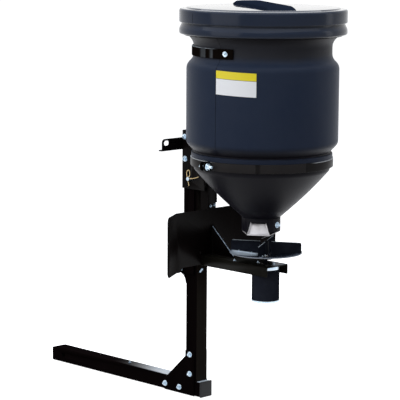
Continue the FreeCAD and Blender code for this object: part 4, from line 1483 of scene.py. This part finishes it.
@dataclass
class Spinner(Assembly):
    """Disc, vanes, hub and shaft, which turn together."""

    disc: float = 0.118
    top: float = 0.498
    dish: float = 0.0085
    flat: float = 0.030
    plate: float = 0.003
    bore: float = 0.005
    vane_turn: float = 31.0
    vane_edge: float = 0.00075
    foot: float = 0.013
    rivets: tuple[float, float] = (0.045, 0.088)

    def at(self, reach: float, across: float, lift: float, turn: float) -> Vector:
        """A place over the dished disc, given along and across one vane.

        Args:
            reach: Metres along the vane from the axis.
            across: Metres to the vane's side.
            lift: Metres above the disc.
            turn: The vane's angle in degrees.

        Returns:
            The place.
        """
        share = (math.hypot(reach, across) - self.flat) / (self.disc - self.flat)
        return turned(SPINNER_AXIS, turn, reach, across,
                      self.top + self.dish * max(0.0, share) + lift)

    def build(self) -> None:
        """Make the turning pieces."""
        crest = self.top + self.dish
        outline = [(self.bore, self.top - self.plate), (self.flat, self.top - self.plate),
                   (self.disc, crest - self.plate), (self.disc, crest),
                   (self.flat, self.top), (self.bore, self.top)]
        disc = turn_profile("spinner_disc_dressed",
                            soften(outline, [0, 0.012, 0.0012, 0.0012, 0.012, 0], 4),
                            SPINNER_AXIS, self.palette["disc"], 160)
        settle(disc, Slot.MOTOR, "spinner_disc", body=Body.SPINNER)
        studs = self.fasteners()
        feet = []
        for number in range(4):
            dress_node(f"spinner_vane_{number + 1}", self.palette["vane"], 0.0007,
                       Slot.MOTOR, Body.SPINNER)
            turn = self.vane_turn + 90.0 * number
            corners = [(0.022, self.vane_edge), (0.060, self.vane_edge),
                       (0.1155, self.vane_edge), (0.108, self.foot), (0.060, self.foot),
                       (0.032, self.foot)]
            feet.append(extrude_outline(
                "foot", [self.at(*corner, 0.0001, turn) for corner in corners],
                (0, 0, 0.0020), self.palette["disc"], 0.0004))
            for reach in self.rivets:
                studs.add(self.at(reach, 0.0075, 0.0018, turn), (0, 0, 1), 0.30)
        settle(join_pieces("vane_feet", feet), Slot.MOTOR, body=Body.SPINNER)
        studs.build("vane_rivets", Body.SPINNER)
        for node in ("spinner_hub", "drive_shaft"):
            dress_node(node, self.palette["hub"], 0.0006, Slot.ZINC, Body.SPINNER)


@dataclass
class Motor(Assembly):
    """The enamelled motor can with its bright end rings."""

    def build(self) -> None:
        """Make can and rings."""
        for node, bore, radius, steps, finish, slot in (
                ("motor_can", 0.0, 0.0008, 3, "can", Slot.MOTOR),
                ("motor_top_ring", 0.00505, 0.0015, 4, "zinc", Slot.STEEL),
                ("motor_base_ring", 0.005, 0.0015, 4, "zinc", Slot.STEEL)):
            low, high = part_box(node)
            rim = (high.x - low.x) / 2
            outline = [(bore, low.z), (rim, low.z), (rim, high.z), (bore, high.z)]
            piece = turn_profile(node + "_dressed",
                                 soften(outline, [0, radius, radius, 0], steps),
                                 SPINNER_AXIS, self.palette[finish], 96)
            settle(piece, slot, node)


# ---------------------------------------------------------------- studio

@dataclass(frozen=True)
class Lamp:
    """A soft rectangular lamp: its place, what it points at, its sides, watts and colour."""

    name: str
    spot: Triple
    target: Triple
    sides: Point
    power: float
    colour: Triple

    def build(self) -> None:
        """Hang the lamp."""
        data = bpy.data.lights.new(self.name, "AREA")
        data.shape = "RECTANGLE"
        data.size, data.size_y = self.sides
        data.energy = self.power
        data.color = self.colour
        thing = link_thing(self.name, data)
        thing.location = self.spot
        ahead = Vector(self.target) - Vector(self.spot)
        thing.rotation_euler = ahead.to_track_quat("-Z", "Y").to_euler()


@dataclass
class Studio:
    """Floor, world, soft lamps and camera."""

    floor_height: float = -0.0272
    floor_half: float = 30.0
    floor_glow: float = 0.78
    eye: Triple = (5.1021, -4.4372, 1.5957)
    view: Triple = (-0.69873, 0.69938, -0.15047)
    roll: float = 0.373
    lens: float = 171.17
    lamps: tuple[Lamp, ...] = (
        Lamp("overhead", (0.9, -0.3, 3.4), (0.9, 0.0, 0.0), (6.0, 6.0), 195.0,
             (0.93, 0.96, 1.0)),
        Lamp("left_front", (0.2, -4.2, 2.0), (0.7, 0.0, 0.7), (3.4, 3.0), 50.0,
             (1.0, 0.99, 0.98)),
        Lamp("right_rear", (3.6, 3.4, 1.8), (0.9, 0.0, 0.7), (1.0, 2.6), 10.0,
             (0.97, 0.98, 1.0)))

    def build(self) -> None:
        """Set the stage."""
        bpy.context.scene.view_settings.view_transform = "Standard"
        self.floor()
        self.world()
        for lamp in self.lamps:
            lamp.build()
        self.camera()

    def camera(self) -> None:
        """Set the camera with its slight roll."""
        data = bpy.data.cameras.new("camera")
        data.sensor_width = 36.0
        data.lens = self.lens
        data.clip_end = 60.0
        thing = link_thing("camera", data)
        ahead = Vector(self.view).normalized()
        right = ahead.cross(Vector((0, 0, 1))).normalized()
        up = right.cross(ahead)
        turn = math.radians(self.roll)
        across = right * math.cos(turn) + up * math.sin(turn)
        above = up * math.cos(turn) - right * math.sin(turn)
        matrix = Matrix((across, above, -ahead)).transposed().to_4x4()
        matrix.translation = Vector(self.eye)
        thing.matrix_world = matrix
        bpy.context.scene.camera = thing

    def floor(self) -> None:
        """A pale floor that shows white and keeps the machine's shadow."""
        g = Shader("pale_floor")
        shown = g.seen()
        pale = g.mix(g.noise(60.0, 3.0, 0.6), (0.86, 0.86, 0.86), (0.90, 0.90, 0.90))
        matt = g.node("ShaderNodeBsdfDiffuse", values={
            "Color": g.mix(shown, (0.10, 0.065, 0.055), pale)})
        glow = g.node("ShaderNodeEmission", values={
            "Color": (1.0, 1.0, 1.0, 1.0), "Strength": shown * self.floor_glow})
        g.close("ShaderNodeOutputMaterial",
                g.node("ShaderNodeAddShader", values={0: matt, 1: glow}))
        size = self.floor_half
        corners = [(x, y, self.floor_height) for x, y in (
            (-size, -size), (size, -size), (size, size), (-size, size))]
        add_mesh("studio_floor", corners, [(0, 1, 2, 3)], material=g.material)

    def world(self) -> None:
        """A dim world for light that shows white behind the machine."""
        world = bpy.data.worlds.new("studio_world")
        world.use_nodes = True
        g = Graph(world.node_tree)
        dim, white = (g.node("ShaderNodeBackground", values={
            "Color": colour, "Strength": strength}) for colour, strength in (
                ((0.92, 0.95, 1.0, 1.0), 0.36), ((1.0, 1.0, 1.0, 1.0), 1.0)))
        g.close("ShaderNodeOutputWorld",
                g.node("ShaderNodeMixShader", values={0: g.seen(), 1: dim, 2: white}))
        bpy.context.scene.world = world


def main() -> None:
    """Build every sub-assembly in order, then the studio."""
    logging.basicConfig(level=logging.INFO, format="%(name)s %(message)s")
    palette = {word: finish.build() for word, finish in FINISHES.items()}
    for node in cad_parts.values():
        node.data.materials.clear()
        node.data.materials.append(palette["black"])
    bolts = bolt_group()
    for assembly in (SteelFrame, Tub, Lid, Bands, Outlet, Spinner, Motor):
        assembly(palette, bolts).build()
    Studio().build()


if __name__ == "__main__":
    main()
